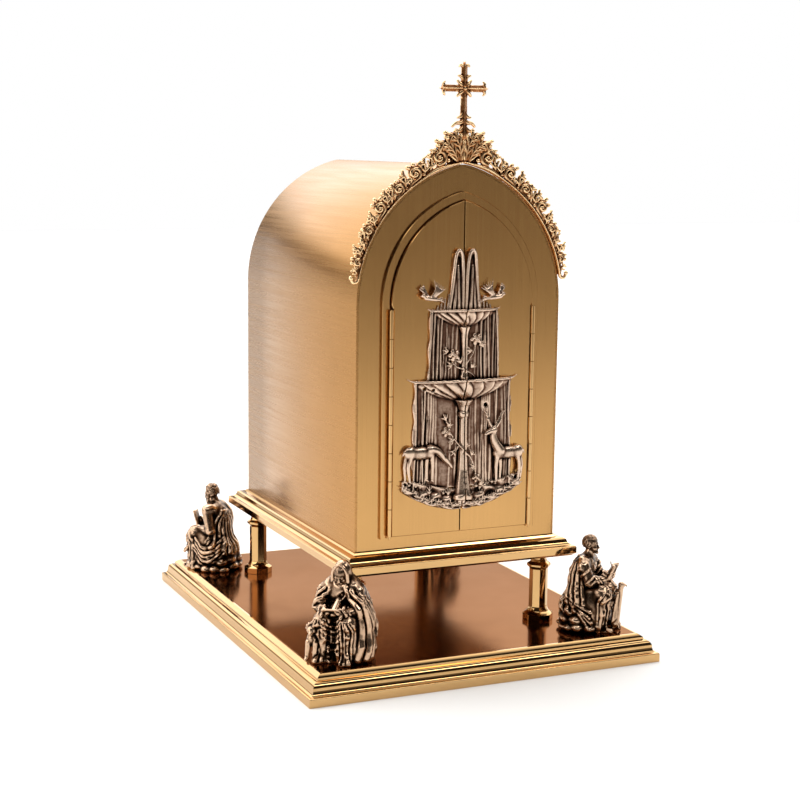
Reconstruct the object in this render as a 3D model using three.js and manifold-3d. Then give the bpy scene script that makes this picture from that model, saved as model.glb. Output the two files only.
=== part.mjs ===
// Altar tabernacle in gilt brass: a small house with a pointed roof and two
// hinged doors, raised on four octagonal columns above a broad moulded base,
// with a cast fountain relief, a leafy cresting with a cross, and four seated
// figures. Millimetres, +Z up, front towards -Y, origin under the base.

import * as THREE from 'three';
import { mergeVertices } from 'three/addons/utils/BufferGeometryUtils.js';
import Module from 'manifold-3d';

const wasm = await Module();
wasm.setup();

// Base: a mitred moulding round a flat polished plate.
const BASE_WIDTH = 450;
const BASE_DEPTH = 584;
const BASE_HEIGHT = 32;
const BASE_SPREAD = 20;
const BASE_FLANGE = 12;

// Plinth under the house: a second mitred moulding on the columns.
const PLINTH_WIDTH = 304;
const PLINTH_DEPTH = 426;
const PLINTH_BOTTOM = 117;
const PLINTH_HEIGHT = 26;
const UNDERSIDE_INSET = 13;

// House: bent sheet with straight sides and a pointed roof.
const HOUSE_WIDTH = 262;
const HOUSE_DEPTH = 380;
const SPRING_HEIGHT = 430;
const ARC_CENTRE = 33;

// Doorway, door frame and the two door leaves.
const DOOR_WIDTH = 181;
const DOOR_BOTTOM = 160;
const DOOR_THICKNESS = 8.4;
const DOOR_SEAM = 1.2;
const DOOR_STOP = 5;
const DOOR_SKIN = 2;
const FRAME_BAND = 9.2;
const FRAME_THICKNESS = 4.2;
const KEYHOLE_HEIGHT = 310;
const KEYHOLE_WIDTH = 5;

// Hinges: one long knuckle hinge on the straight edge of each leaf.
const HINGE_BELOW_SPRING = 5;
const HINGE_KNUCKLES = 8;
const KNUCKLE_RADIUS = 2.4;
const PIN_RADIUS = 1;
const HINGE_LEAF = 0.9;
const BORE_CLEARANCE = 0.3;

// Columns: octagonal shafts with collars, set in from the plinth's fascia.
const COLUMN_INSET_X = 28;
const COLUMN_INSET_Y = 43;
const SHAFT_RADIUS = 11.6;
const NECK_RADIUS = 9.3;
const COLLAR_RADIUS = 19;

// Relief: the fountain's sizes, measured from the bottom of the ground.
const RELIEF_BOTTOM = 187;
const RELIEF_HEIGHT = 307;
const RELIEF_DEPTH = 12;

// Cresting and cross. The cresting starts at a share of the way up the arch.
const CREST_WIDTH = 19;
const CREST_DEPTH = 12;
const CREST_UNITS = 6;
const CREST_START = 0.16;
const CROSS_HEIGHT = 87;
const CROSS_SPAN = 62;

// Figures: their height, and where each pair stands between the plinth's
// corner (0) and the base's top corner (1), along x and y.
const FIGURE_HEIGHT = 116;
const FRONT_SHARE_X = 0.17;
const FRONT_SHARE_Y = 0.237;
const BACK_SHARE_X = 0.36;
const BACK_SHARE_Y = 0.068;

// Common thickness of the sheet, and the clearance between pieces.
const SHEET = 2.5;
const GAP = 0.4;
const ARC_STEPS = 11;

// Cutters run this far past what they cut.
const PAST = 20;

const gold = { color: 0xc99652, roughness: 0.28, metalness: 1 };
const polished = { color: 0xd9a55c, roughness: 0.12, metalness: 1 };
const silvered = { color: 0x8f7568, roughness: 0.42, metalness: 1 };
const gilt = { color: 0xcf9a5c, roughness: 0.3, metalness: 1 };

const group = new THREE.Group();

/** Put a geometry into the group as a named piece with its own material. */
function place(name, geometry, finish) {
  const material = new THREE.MeshStandardMaterial({ ...finish, flatShading: true });
  const mesh = new THREE.Mesh(geometry, material);
  mesh.name = name;
  group.add(mesh);
  return mesh;
}

/** Weld a geometry, drop its empty triangles and turn its faces outwards. */
function welded(geometry) {
  const bare = geometry.clone();
  bare.deleteAttribute('normal');
  bare.deleteAttribute('uv');
  const merged = mergeVertices(bare, 1e-4);
  const index = merged.index.array;
  const at = merged.attributes.position;
  const kept = [];
  const corner = [new THREE.Vector3(), new THREE.Vector3(), new THREE.Vector3()];
  let volume = 0;
  for (let i = 0; i < index.length; i += 3) {
    const [a, b, c] = [index[i], index[i + 1], index[i + 2]];
    if (a === b || b === c || c === a) continue;
    kept.push(a, b, c);
    corner[0].fromBufferAttribute(at, a);
    corner[1].fromBufferAttribute(at, b);
    corner[2].fromBufferAttribute(at, c);
    volume += corner[0].dot(corner[1].cross(corner[2]));
  }
  if (volume < 0) kept.reverse();
  merged.setIndex(kept);
  return merged;
}

/** A solid that can be cut and joined, from a closed geometry. */
function solidOf(geometry) {
  const closed = welded(geometry);
  return new wasm.Manifold(new wasm.Mesh({
    numProp: 3,
    vertProperties: Float32Array.from(closed.attributes.position.array),
    triVerts: Uint32Array.from(closed.index.array),
  }));
}

/** The geometry of a solid. */
function geometryOf(solid) {
  const mesh = solid.getMesh();
  const geometry = new THREE.BufferGeometry();
  geometry.setAttribute('position', new THREE.BufferAttribute(mesh.vertProperties, 3));
  geometry.setIndex(new THREE.BufferAttribute(mesh.triVerts, 1));
  return geometry;
}

/** One solid from a list of closed geometries that run into each other. */
function joined(geometries) {
  return geometries.map(solidOf).reduce((whole, next) => whole.add(next));
}

/** A copy mirrored in x. */
function mirrored(geometry) {
  const other = geometry.clone();
  other.scale(-1, 1, 1);
  return welded(other);
}

/** An upright box between two corners. */
function block(x0, x1, y0, y1, z0, z1) {
  const box = new THREE.BoxGeometry(x1 - x0, y1 - y0, z1 - z0);
  box.translate((x0 + x1) / 2, (y0 + y1) / 2, (z0 + z1) / 2);
  return box;
}

/** A lathe turned on the z axis from [radius, height] pairs. */
function turned(profile, sides, start = 0) {
  const points = profile.map(([radius, height]) => new THREE.Vector2(radius, height));
  const lathe = new THREE.LatheGeometry(points, sides, start);
  lathe.rotateX(Math.PI / 2);
  return welded(lathe);
}

/** A flat shape in x and z, given as [x, z] pairs, with thickness along y. */
function plate(outline, yFront, yBack, hole = null) {
  const shape = new THREE.Shape(outline.map(([x, z]) => new THREE.Vector2(x, z)));
  if (hole) shape.holes.push(new THREE.Path(hole.map(([x, z]) => new THREE.Vector2(x, z))));
  const slab = new THREE.ExtrudeGeometry(shape, { depth: yBack - yFront, bevelEnabled: false });
  slab.rotateX(Math.PI / 2);
  slab.translate(0, yBack, 0);
  return welded(slab);
}

/**
 * A mitred frame of moulding. The closed profile is [out, height] pairs, with
 * out measured from a rectangle of the given half sizes. It is a lathe with
 * four sides whose corners are then moved apart along y.
 */
function mitred(profile, halfX, halfY) {
  const corners = profile.map(([out, height]) => [(out + halfX) * Math.SQRT2, height]);
  const ring = turned([...corners, corners[0]], 4, Math.PI / 4);
  const at = ring.attributes.position;
  for (let i = 0; i < at.count; i += 1) {
    at.setY(i, at.getY(i) + Math.sign(at.getY(i)) * (halfY - halfX));
  }
  return welded(ring);
}

/** Outline of the pointed arch on straight jambs, as [x, z] pairs. */
function arch(halfWidth, foot) {
  const radius = ARC_CENTRE + halfWidth;
  const top = Math.acos(ARC_CENTRE / radius);
  const right = [[halfWidth, foot]];
  for (let i = 0; i < ARC_STEPS; i += 1) {
    const angle = top * i / ARC_STEPS;
    right.push([radius * Math.cos(angle) - ARC_CENTRE, SPRING_HEIGHT + radius * Math.sin(angle)]);
  }
  const left = right.map(([x, z]) => [-x, z]).reverse();
  return [...right, [0, SPRING_HEIGHT + radius * Math.sin(top)], ...left];
}

/** Point on the roof line: share 0 at the spring, 1 at the apex, raised by out. */
function onArch(share, out) {
  const radius = ARC_CENTRE + HOUSE_WIDTH / 2;
  const angle = Math.acos(ARC_CENTRE / radius) * share;
  return new THREE.Vector3(
    (radius + out) * Math.cos(angle) - ARC_CENTRE, 0,
    SPRING_HEIGHT + (radius + out) * Math.sin(angle));
}

// Base moulding and its top plate.

const baseHalfX = BASE_WIDTH / 2 - BASE_SPREAD;
const baseHalfY = BASE_DEPTH / 2 - BASE_SPREAD;
const wall = 0.8 * SHEET;

// The moulding's face, from its top edge down to the fascia, as shares.
const baseFace = [
  [0, 1], [0.03, 0.875], [0.145, 0.766], [0.28, 0.744], [0.38, 0.712],
  [0.42, 0.656], [0.455, 0.588], [0.53, 0.475], [0.72, 0.422],
  [0.795, 0.344], [0.925, 0.331], [1, 0.266],
].map(([out, height]) => [out * BASE_SPREAD, height * BASE_HEIGHT]);

const baseInside = baseFace.map(([out, height]) => [out - wall, height - 0.9 * wall]).reverse();
const baseProfile = [
  ...baseFace,
  [BASE_SPREAD, 0], [BASE_SPREAD - BASE_FLANGE, 0], [BASE_SPREAD - BASE_FLANGE, wall],
  [BASE_SPREAD - wall, wall],
  ...baseInside,
  [-wall, BASE_HEIGHT],
];
place('base_moulding', mitred(baseProfile, baseHalfX, baseHalfY), polished);

const topHalfX = baseHalfX - wall - GAP;
const topHalfY = baseHalfY - wall - GAP;
place('base_top',
  block(-topHalfX, topHalfX, -topHalfY, topHalfY, BASE_HEIGHT - SHEET, BASE_HEIGHT), polished);

// Plinth moulding and the plate under it.

const plinthHalfX = PLINTH_WIDTH / 2;
const plinthHalfY = PLINTH_DEPTH / 2;
const plinthTop = PLINTH_BOTTOM + PLINTH_HEIGHT;
const seatIn = plinthHalfX - HOUSE_WIDTH / 2;
const seatEdge = seatIn + 2 * SHEET;
const returnEdge = COLUMN_INSET_X - NECK_RADIUS - 2 * GAP;

// Face of the moulding, as a distance in from the fascia and a share of height.
const plinthFace = [
  [14, 0], [9, 0.04], [5, 0.1], [1.2, 0.17], [0, 0.22], [0, 0.5], [1, 0.52],
  [1.6, 0.58], [4, 0.69], [7.4, 0.76], [9.4, 0.76], [10.2, 0.82], [12, 0.84],
  [12, 0.9], [14, 0.92], [17, 0.95],
].map(([inset, share]) => [-inset, PLINTH_BOTTOM + share * PLINTH_HEIGHT]);

// Inside of the sheet, from the top down, in the same terms.
const plinthInside = [
  [17, 0.86], [14.4, 0.808], [9.6, 0.654], [6, 0.577], [2.2, 0.446], [2.2, 0.246],
  [6.4, 0.162],
].map(([inset, share]) => [-inset, PLINTH_BOTTOM + share * PLINTH_HEIGHT]);

const plinthProfile = [
  ...plinthFace,
  [-seatIn + 1, plinthTop], [-seatEdge, plinthTop], [-seatEdge, plinthTop - wall],
  ...plinthInside,
  [-11, PLINTH_BOTTOM + wall], [-returnEdge, PLINTH_BOTTOM + wall], [-returnEdge, PLINTH_BOTTOM],
];
place('plinth_moulding', mitred(plinthProfile, plinthHalfX, plinthHalfY), polished);

const underHalfX = plinthHalfX - UNDERSIDE_INSET;
const underHalfY = plinthHalfY - UNDERSIDE_INSET;
const underTop = PLINTH_BOTTOM + wall;
place('plinth_underside',
  block(-underHalfX, underHalfX, -underHalfY, underHalfY, underTop, underTop + SHEET), gold);

// Columns between the base and the plinth.

const columnBottom = BASE_HEIGHT;
const columnTop = underTop;
const columnLength = columnTop - columnBottom;

// Octagonal column: collar at the foot, plain shaft, collar and neck on top.
const columnProfile = [
  [0, 0], [COLLAR_RADIUS, 0], [COLLAR_RADIUS, 0.085], [COLLAR_RADIUS - 1.4, 0.105],
  [SHAFT_RADIUS + 1.8, 0.13], [SHAFT_RADIUS + 0.5, 0.16], [SHAFT_RADIUS, 0.2],
  [SHAFT_RADIUS, 0.74], [SHAFT_RADIUS + 0.6, 0.752], [SHAFT_RADIUS + 3.4, 0.785],
  [SHAFT_RADIUS + 3.4, 0.81], [NECK_RADIUS + 1.1, 0.845], [NECK_RADIUS, 0.88],
  [NECK_RADIUS, 1], [0, 1],
].map(([radius, share]) => [radius, columnBottom + share * columnLength]);

const columnX = plinthHalfX - COLUMN_INSET_X;
const columnY = plinthHalfY - COLUMN_INSET_Y;
for (const [end, endY] of [['front', -columnY], ['back', columnY]]) {
  for (const [side, sideX] of [['left', -columnX], ['right', columnX]]) {
    const column = turned(columnProfile, 8, Math.PI / 8);
    place(`column_${end}_${side}`, column, polished).position.set(sideX, endY, 0);
  }
}

// House: shell, panels and floor.

const apex = onArch(1, 0).z;
const crossFoot = apex + CREST_WIDTH * 1.5;
const crossTop = crossFoot + CROSS_HEIGHT;

const houseHalf = HOUSE_WIDTH / 2;
const frontY = -HOUSE_DEPTH / 2;
const backY = HOUSE_DEPTH / 2;

// The bent sheet is an arch with the same arch, one sheet smaller, cut away.
const shell = solidOf(plate(arch(houseHalf, plinthTop), frontY, backY))
  .subtract(solidOf(plate(arch(houseHalf - SHEET, plinthTop - PAST), frontY - PAST, backY + PAST)));
place('house_shell', geometryOf(shell), gold);

const panelHalf = houseHalf - SHEET - GAP;
place('back_panel', plate(arch(panelHalf, plinthTop), backY - SHEET, backY), gold);

const openingHalf = DOOR_WIDTH / 2 - DOOR_STOP - 1.5;
const openingFoot = DOOR_BOTTOM + DOOR_STOP;
const frontPanel = plate(
  arch(panelHalf, plinthTop), frontY, frontY + SHEET, arch(openingHalf, openingFoot));
place('front_panel', frontPanel, gold);

const floorFront = frontY + SHEET + GAP;
place('house_floor',
  block(-panelHalf, panelHalf, floorFront, -floorFront, plinthTop, plinthTop + SHEET), gold);

// Door frame and the two leaves.

const leafHalf = DOOR_WIDTH / 2;
const frameInner = leafHalf + 2 * GAP;
const frameFront = frontY - FRAME_THICKNESS - GAP;
const frameBand = solidOf(plate(
  arch(frameInner + FRAME_BAND, DOOR_BOTTOM - 3), frameFront, frontY - GAP))
  .subtract(solidOf(plate(arch(frameInner, DOOR_BOTTOM - PAST), frameFront - PAST, frontY + PAST)));
place('door_frame', geometryOf(frameBand), gold);

const doorBack = frontY - 1.5 * GAP;
const doorFront = doorBack - DOOR_THICKNESS;
const doorEdge = leafHalf - KNUCKLE_RADIUS;
const hingeX = frameInner;
const hingeY = doorFront - 0.5;
const keyholeX = leafHalf / 3;
const hingeTop = SPRING_HEIGHT - HINGE_BELOW_SPRING;

/** Round cutter along y for the keyhole. */
function keyholeCutter() {
  const cutter = new THREE.CylinderGeometry(
    KEYHOLE_WIDTH / 2, KEYHOLE_WIDTH / 2, 5 * DOOR_THICKNESS, 10);
  cutter.translate(keyholeX, doorFront, KEYHOLE_HEIGHT);
  return solidOf(cutter);
}

// The right leaf is a shallow tray of sheet, open at the back, with its
// straight edge set back for the hinge.
const hingeNotch = block(doorEdge, leafHalf + PAST, doorFront - PAST, frontY + PAST,
  DOOR_BOTTOM - PAST, hingeTop + GAP);
const leafOutline = block(DOOR_SEAM / 2, leafHalf + PAST, doorFront - PAST, frontY + PAST,
  DOOR_BOTTOM - PAST, crossTop);
const leafPocket = solidOf(plate(
  arch(doorEdge - DOOR_SKIN, DOOR_BOTTOM + DOOR_SKIN), doorFront + DOOR_SKIN, frontY + PAST))
  .intersect(solidOf(block(DOOR_SEAM / 2 + DOOR_SKIN, leafHalf, doorFront - PAST, frontY + PAST,
    DOOR_BOTTOM, crossTop)));
const plainLeaf = solidOf(plate(arch(leafHalf, DOOR_BOTTOM), doorFront, doorBack))
  .intersect(solidOf(leafOutline))
  .subtract(solidOf(hingeNotch))
  .subtract(leafPocket);
place('door_left', mirrored(geometryOf(plainLeaf)), gold);
place('door_right', geometryOf(plainLeaf.subtract(keyholeCutter())), gold);

// Hinges: combs of knuckles on strips, and a pin.

const knucklePitch = (hingeTop - DOOR_BOTTOM) / HINGE_KNUCKLES;
const boreRadius = PIN_RADIUS + BORE_CLEARANCE;
const knuckleSides = 6;

/** One leaf of the right hinge: a comb of knuckles and a flat strip behind. */
function hingeLeaf(stripX, stripFront, phase) {
  const pieces = [];
  for (let i = phase; i < HINGE_KNUCKLES; i += 2) {
    const low = DOOR_BOTTOM + i * knucklePitch + GAP / 2;
    const high = low + knucklePitch - GAP;
    const knuckle = turned([[0, low], [KNUCKLE_RADIUS, low], [KNUCKLE_RADIUS, high], [0, high]],
      knuckleSides, Math.PI / knuckleSides);
    knuckle.translate(hingeX, hingeY, 0);
    pieces.push(knuckle);
    pieces.push(block(stripX, stripX + HINGE_LEAF, stripFront, frontY - 2 * GAP, low, high));
  }
  const strip = block(stripX, stripX + HINGE_LEAF, hingeY + KNUCKLE_RADIUS + 2 * GAP,
    frontY - 2 * GAP, DOOR_BOTTOM + GAP / 2, hingeTop - GAP / 2);
  const bore = turned([[0, 0], [boreRadius, 0], [boreRadius, crossTop], [0, crossTop]],
    knuckleSides, Math.PI / knuckleSides);
  bore.translate(hingeX, hingeY, 0);
  return geometryOf(joined([strip, ...pieces]).subtract(solidOf(bore)));
}

const frameStripX = hingeX - HINGE_LEAF - GAP;
const doorStripX = doorEdge + GAP;
const frameLeaf = hingeLeaf(frameStripX, hingeY + boreRadius + GAP, 0);
const doorLeaf = hingeLeaf(doorStripX, hingeY + GAP, 1);
const pin = turned([
  [0, DOOR_BOTTOM - 3], [PIN_RADIUS, DOOR_BOTTOM - 3],
  [PIN_RADIUS, hingeTop + GAP], [0, hingeTop + GAP],
], knuckleSides, Math.PI / knuckleSides);
pin.translate(hingeX, hingeY, 0);

place('hinge_frame_leaf_right', frameLeaf, polished);
place('hinge_frame_leaf_left', mirrored(frameLeaf), polished);
place('hinge_door_leaf_right', doorLeaf, polished);
place('hinge_door_leaf_left', mirrored(doorLeaf), polished);
place('hinge_pin_right', pin, polished);
place('hinge_pin_left', mirrored(pin), polished);

// Fountain relief, split at the seam of the doors.

const reliefBack = doorFront - GAP;

/** Height of a share of the relief, 0 at its foot and 1 at its top. */
function reliefZ(share) {
  return RELIEF_BOTTOM + share * RELIEF_HEIGHT;
}

/** A sheet of falling water: a fluted slab between two heights. */
function waterSheet(halfShare, lowShare, highShare, flutes, thickness) {
  const half = halfShare * RELIEF_HEIGHT;
  const points = [new THREE.Vector2(-half, 3), new THREE.Vector2(half, 3)];
  for (let i = 0; i <= 2 * flutes; i += 1) {
    const swell = i % 2 ? thickness : thickness * 0.45;
    points.push(new THREE.Vector2(half - half * i / flutes, -swell));
  }
  const length = (highShare - lowShare) * RELIEF_HEIGHT;
  const slab = new THREE.ExtrudeGeometry(new THREE.Shape(points), {
    depth: length, bevelEnabled: false });
  slab.translate(0, reliefBack, reliefZ(lowShare));
  return slab;
}

/** Half-sunk turned part of the fountain, pressed flat in y. */
function fountainPart(profile, sides, flatten, gadroons = 0) {
  const part = turned(profile.map(([radius, share]) => [radius * RELIEF_HEIGHT, reliefZ(share)]),
    sides, Math.PI / sides);
  const at = part.attributes.position;
  for (let i = 0; i < at.count; i += 1) {
    const turn = Math.atan2(at.getY(i), at.getX(i));
    const swell = 1 + 0.05 * Math.sign(gadroons) * Math.cos(gadroons * turn);
    at.setY(i, at.getY(i) * flatten * swell);
  }
  part.translate(0, reliefBack + 1, 0);
  return part;
}

/** A flat silhouette on the relief, as shares of the relief's height. */
function silhouette(points, xShare, zShare, size, thickness) {
  const outline = points.map(([x, z]) => [
    (xShare + x * size) * RELIEF_HEIGHT, reliefZ(zShare + z * Math.abs(size))]);
  return plate(outline, reliefBack - thickness, reliefBack + 2);
}

/** A rounded lump on the relief: centre and radii as shares. */
function reliefLump(x, z, radiusX, radiusZ, rise, sides = 6) {
  const lump = new THREE.SphereGeometry(1, sides, 4);
  lump.rotateX(Math.PI / 2);
  lump.scale(radiusX * RELIEF_HEIGHT, rise, radiusZ * RELIEF_HEIGHT);
  lump.translate(x * RELIEF_HEIGHT, reliefBack, reliefZ(z));
  return lump;
}

// A grazing or standing animal seen from the side, head towards +x.
const animal = [
  [-0.5, 0.36], [-0.42, 0.46], [-0.1, 0.44], [0.22, 0.46], [0.32, 0.4], [0.38, 0.12],
  [0.34, -0.5], [0.26, -0.5], [0.24, 0.02], [-0.24, 0.02], [-0.3, -0.5], [-0.38, -0.5],
  [-0.42, -0.02], [-0.56, 0.1],
];
const grazingNeck = [[0.2, 0.44], [0.4, 0.36], [0.86, 0.06], [0.8, -0.12], [0.56, 0], [0.22, 0.16]];
const raisedNeck = [[0.1, 0.42], [0.34, 0.92], [0.3, 1.08], [0.44, 1.1], [0.66, 0.9], [0.4, 0.3]];
const antlers = [[0.36, 1.02], [0.16, 1.16], [0.1, 1.34], [0.26, 1.2], [0.4, 1.12],
  [0.58, 1.24], [0.74, 1.4], [0.7, 1.18], [0.46, 1.02]];

// A bird with spread wings, beak towards +x.
const bird = [
  [-0.6, -0.3], [-0.2, -0.36], [0.1, -0.16], [0.44, -0.1], [0.36, 0.06], [0.14, 0.16],
  [0.5, 0.42], [0.36, 0.5], [-0.06, 0.24], [-0.14, 0.62], [-0.26, 0.56], [-0.28, 0.06],
];

const fountain = joined([
  waterSheet(0.15, 0.48, 0.765, 6, 4.2),
  waterSheet(0.208, 0.1, 0.505, 7, 3.6),
  fountainPart([[0, 0.76], [0.135, 0.766], [0.14, 0.776], [0.12, 0.762], [0.085, 0.725],
    [0.03, 0.7], [0, 0.7]].reverse(), 16, RELIEF_DEPTH / (0.14 * RELIEF_HEIGHT), 10),
  fountainPart([[0, 0.49], [0.2, 0.492], [0.228, 0.51], [0.205, 0.484], [0.15, 0.45],
    [0.05, 0.42], [0, 0.42]].reverse(), 20, RELIEF_DEPTH / (0.21 * RELIEF_HEIGHT), 12),
  fountainPart([[0, 0.46], [0.013, 0.46], [0.016, 0.62], [0.011, 0.7], [0, 0.74]], 8, 1.3),
  fountainPart([[0, 0.06], [0.058, 0.06], [0.05, 0.085], [0.038, 0.11], [0.026, 0.25],
    [0.013, 0.33], [0.017, 0.4], [0.026, 0.41], [0.017, 0.43], [0, 0.45]], 8, 0.8),
  reliefLump(-0.027, 0.93, 0.03, 0.07, 8),
  reliefLump(0.027, 0.93, 0.03, 0.07, 8),
  waterSheet(0.064, 0.75, 0.93, 4, 6),
  reliefLump(0, 0.075, 0.258, 0.075, 6, 16),
  silhouette(animal, -0.175, 0.175, 0.13, 5),
  silhouette(grazingNeck, -0.175, 0.175, 0.13, 6),
  silhouette(animal, 0.195, 0.185, -0.13, 5),
  silhouette(raisedNeck, 0.195, 0.185, -0.13, 6),
  silhouette(antlers, 0.195, 0.185, -0.13, 4),
  reliefLump(-0.18, 0.21, 0.05, 0.025, 7.5),
  reliefLump(0.2, 0.22, 0.05, 0.025, 7.5),
  silhouette(bird, -0.125, 0.792, 0.085, 6),
  silhouette(bird, 0.125, 0.792, -0.085, 6),
  reliefLump(0.06, 0.69, 0.026, 0.024, 6),
  reliefLump(-0.055, 0.62, 0.026, 0.024, 6),
  reliefLump(-0.05, 0.27, 0.022, 0.024, 6),
  reliefLump(0.05, 0.16, 0.022, 0.02, 6),
]);

/** The part of the relief on one side of the seam, in front of the door. */
function reliefHalf(side) {
  const inner = side * DOOR_SEAM / 2;
  const outer = side * HOUSE_WIDTH;
  const keep = block(Math.min(inner, outer), Math.max(inner, outer),
    reliefBack - HOUSE_DEPTH, reliefBack, 0, crossTop);
  return fountain.intersect(solidOf(keep));
}

place('relief_left', geometryOf(reliefHalf(-1)), silvered);
place('relief_right', geometryOf(reliefHalf(1).subtract(keyholeCutter())), silvered);

// Cresting along the front edge of the roof.

const crestFront = frontY - CREST_DEPTH / 2;
const roofRadius = ARC_CENTRE + HOUSE_WIDTH / 2;

/** A lump of the cresting at a share of the arch, out from the roof. */
function crestLump(share, out, along, across, deep, lean = 0, sides = 5) {
  const lump = new THREE.SphereGeometry(1, sides, 3);
  lump.scale(across, deep, along);
  lump.rotateY(-lean);
  const centre = onArch(share, out);
  lump.rotateY(-Math.acos(ARC_CENTRE / roofRadius) * share);
  lump.translate(centre.x, frontY, centre.z);
  return lump;
}

/** Rib that lies along the roof line below the leaves. */
function crestRib() {
  const low = GAP;
  const high = GAP + CREST_WIDTH * 0.3;
  const outline = [];
  for (let i = 0; i <= ARC_STEPS; i += 1) {
    const point = onArch(CREST_START + (1 - CREST_START) * i / ARC_STEPS, low);
    outline.push([point.x, point.z]);
  }
  for (let i = ARC_STEPS; i >= 0; i -= 1) {
    const point = onArch(CREST_START + (1 - CREST_START) * i / ARC_STEPS, high);
    outline.push([point.x, point.z]);
  }
  return plate(outline, crestFront, crestFront + CREST_DEPTH);
}

// Each unit is a scroll and a leaf; three larger leaves meet at the apex. Lengths
// along the roof are shares of the pitch of the units.
const crestStep = (0.82 - CREST_START) / CREST_UNITS;
const pitch = crestStep * roofRadius * Math.acos(ARC_CENTRE / roofRadius);
const crestPieces = [crestRib()];
for (let i = 0; i < CREST_UNITS; i += 1) {
  const share = CREST_START + 0.04 + crestStep * i;
  const rise = CREST_WIDTH * (0.78 + 0.06 * i / CREST_UNITS);
  crestPieces.push(crestLump(share, rise * 0.5, pitch * 0.34, rise * 0.52,
    CREST_DEPTH * 0.5, 0.5, 6));
  crestPieces.push(crestLump(share + crestStep * 0.45, rise * 0.55, pitch * 0.22, rise * 0.62,
    CREST_DEPTH * 0.4, -0.5));
}
crestPieces.push(crestLump(CREST_START - 0.005, CREST_WIDTH * 0.26, pitch * 0.25,
  CREST_WIDTH * 0.2, CREST_DEPTH * 0.4, -0.7));
crestPieces.push(crestLump(0.86, CREST_WIDTH * 0.55, pitch * 0.53, CREST_WIDTH * 0.66,
  CREST_DEPTH * 0.6, 0.35, 6));
crestPieces.push(crestLump(0.93, CREST_WIDTH * 0.85, pitch * 0.44, CREST_WIDTH * 0.95,
  CREST_DEPTH * 0.55, 0.1, 6));
crestPieces.push(crestLump(0.99, CREST_WIDTH * 0.95, pitch * 0.3, CREST_WIDTH * 1.1,
  CREST_DEPTH * 0.5, -0.25, 6));

// Both halves meet on the centre line and stay clear of the roof.
const roofCut = solidOf(plate(arch(houseHalf + GAP, plinthTop), frontY - HOUSE_DEPTH, backY));
const crestKeep = solidOf(block(GAP / 2, HOUSE_WIDTH, frontY - HOUSE_DEPTH, backY,
  SPRING_HEIGHT, crossTop));
const crest = joined(crestPieces).subtract(roofCut).intersect(crestKeep);

// Cross on the ridge.

const crossBar = crossTop - CROSS_SPAN * 0.49;
const reach = CROSS_SPAN / 2;
const armHalf = reach * 0.13;

/** One quarter of the head's outline, from the top arm to the right arm. */
const quarter = [
  [0, 1], [0.12, 0.93], [0.22, 0.9], [0.3, 0.78], [0.16, 0.74], [0.15, 0.5],
  [0.42, 0.42], [0.36, 0.24],
];
const headQuarter = [...quarter, ...quarter.slice(0, -1).map(([x, z]) => [z, x]).reverse()];
const crossOutline = [];
headQuarter.forEach(([x, z]) => crossOutline.push([x * reach, crossBar + z * (crossTop - crossBar)]));
headQuarter.slice(1).reverse().slice(1)
  .filter(([, z]) => z < 0.79)
  .forEach(([x, z]) => crossOutline.push([x * reach, crossBar - z * reach]));
crossOutline.push([armHalf, crossBar - reach * 0.8], [armHalf, crossFoot + armHalf * 2],
  [armHalf * 3.6, crossFoot + armHalf * 0.8], [armHalf * 2, crossFoot - armHalf],
  [0, crossFoot - armHalf * 2.2]);
const leftOutline = crossOutline.slice(1, -1).map(([x, z]) => [-x, z]).reverse();

const crossShape = new THREE.Shape(
  [...crossOutline, ...leftOutline].map(([x, z]) => new THREE.Vector2(x, z)));
const crossDepth = armHalf;
const crossBody = new THREE.ExtrudeGeometry(crossShape, {
  depth: crossDepth, bevelEnabled: false });
crossBody.rotateX(Math.PI / 2);
crossBody.translate(0, frontY + crossDepth / 2, 0);
const boss = new THREE.SphereGeometry(armHalf * 1.1, 8, 4);
boss.translate(0, frontY, crossBar);
const crossSolid = joined([crossBody, boss]);
place('cross', geometryOf(crossSolid), gilt);

const crossRoom = solidOf(block(-armHalf * 4, armHalf * 4, frontY - crossDepth / 2 - GAP,
  frontY + crossDepth / 2 + GAP, crossFoot - armHalf * 2.5, crossTop));
const crestCut = crest.subtract(crossRoom);
place('cresting_right', geometryOf(crestCut), gilt);
place('cresting_left', mirrored(geometryOf(crestCut)), gilt);

// Seated figures on the corners of the base.

const tall = FIGURE_HEIGHT;

/** Rounded mass: centre and radii as shares of the figure's height. */
function mass(centre, radii, sides = 6, rings = 4) {
  const lump = new THREE.SphereGeometry(tall, sides, rings);
  lump.rotateX(Math.PI / 2);
  lump.scale(radii[0], radii[1], radii[2]);
  lump.translate(centre[0] * tall, centre[1] * tall, centre[2] * tall);
  return lump;
}

/** Tapered limb between two points, with radii as shares of the height. */
function limb(from, to, radiusFrom, radiusTo, sides = 5) {
  const a = new THREE.Vector3(...from).multiplyScalar(tall);
  const b = new THREE.Vector3(...to).multiplyScalar(tall);
  const rod = new THREE.CylinderGeometry(
    radiusTo * tall, radiusFrom * tall, a.distanceTo(b), sides);
  const along = b.clone().sub(a).normalize();
  rod.applyQuaternion(new THREE.Quaternion().setFromUnitVectors(new THREE.Vector3(0, 1, 0), along));
  rod.translate((a.x + b.x) / 2, (a.y + b.y) / 2, (a.z + b.z) / 2);
  return rod;
}

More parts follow.
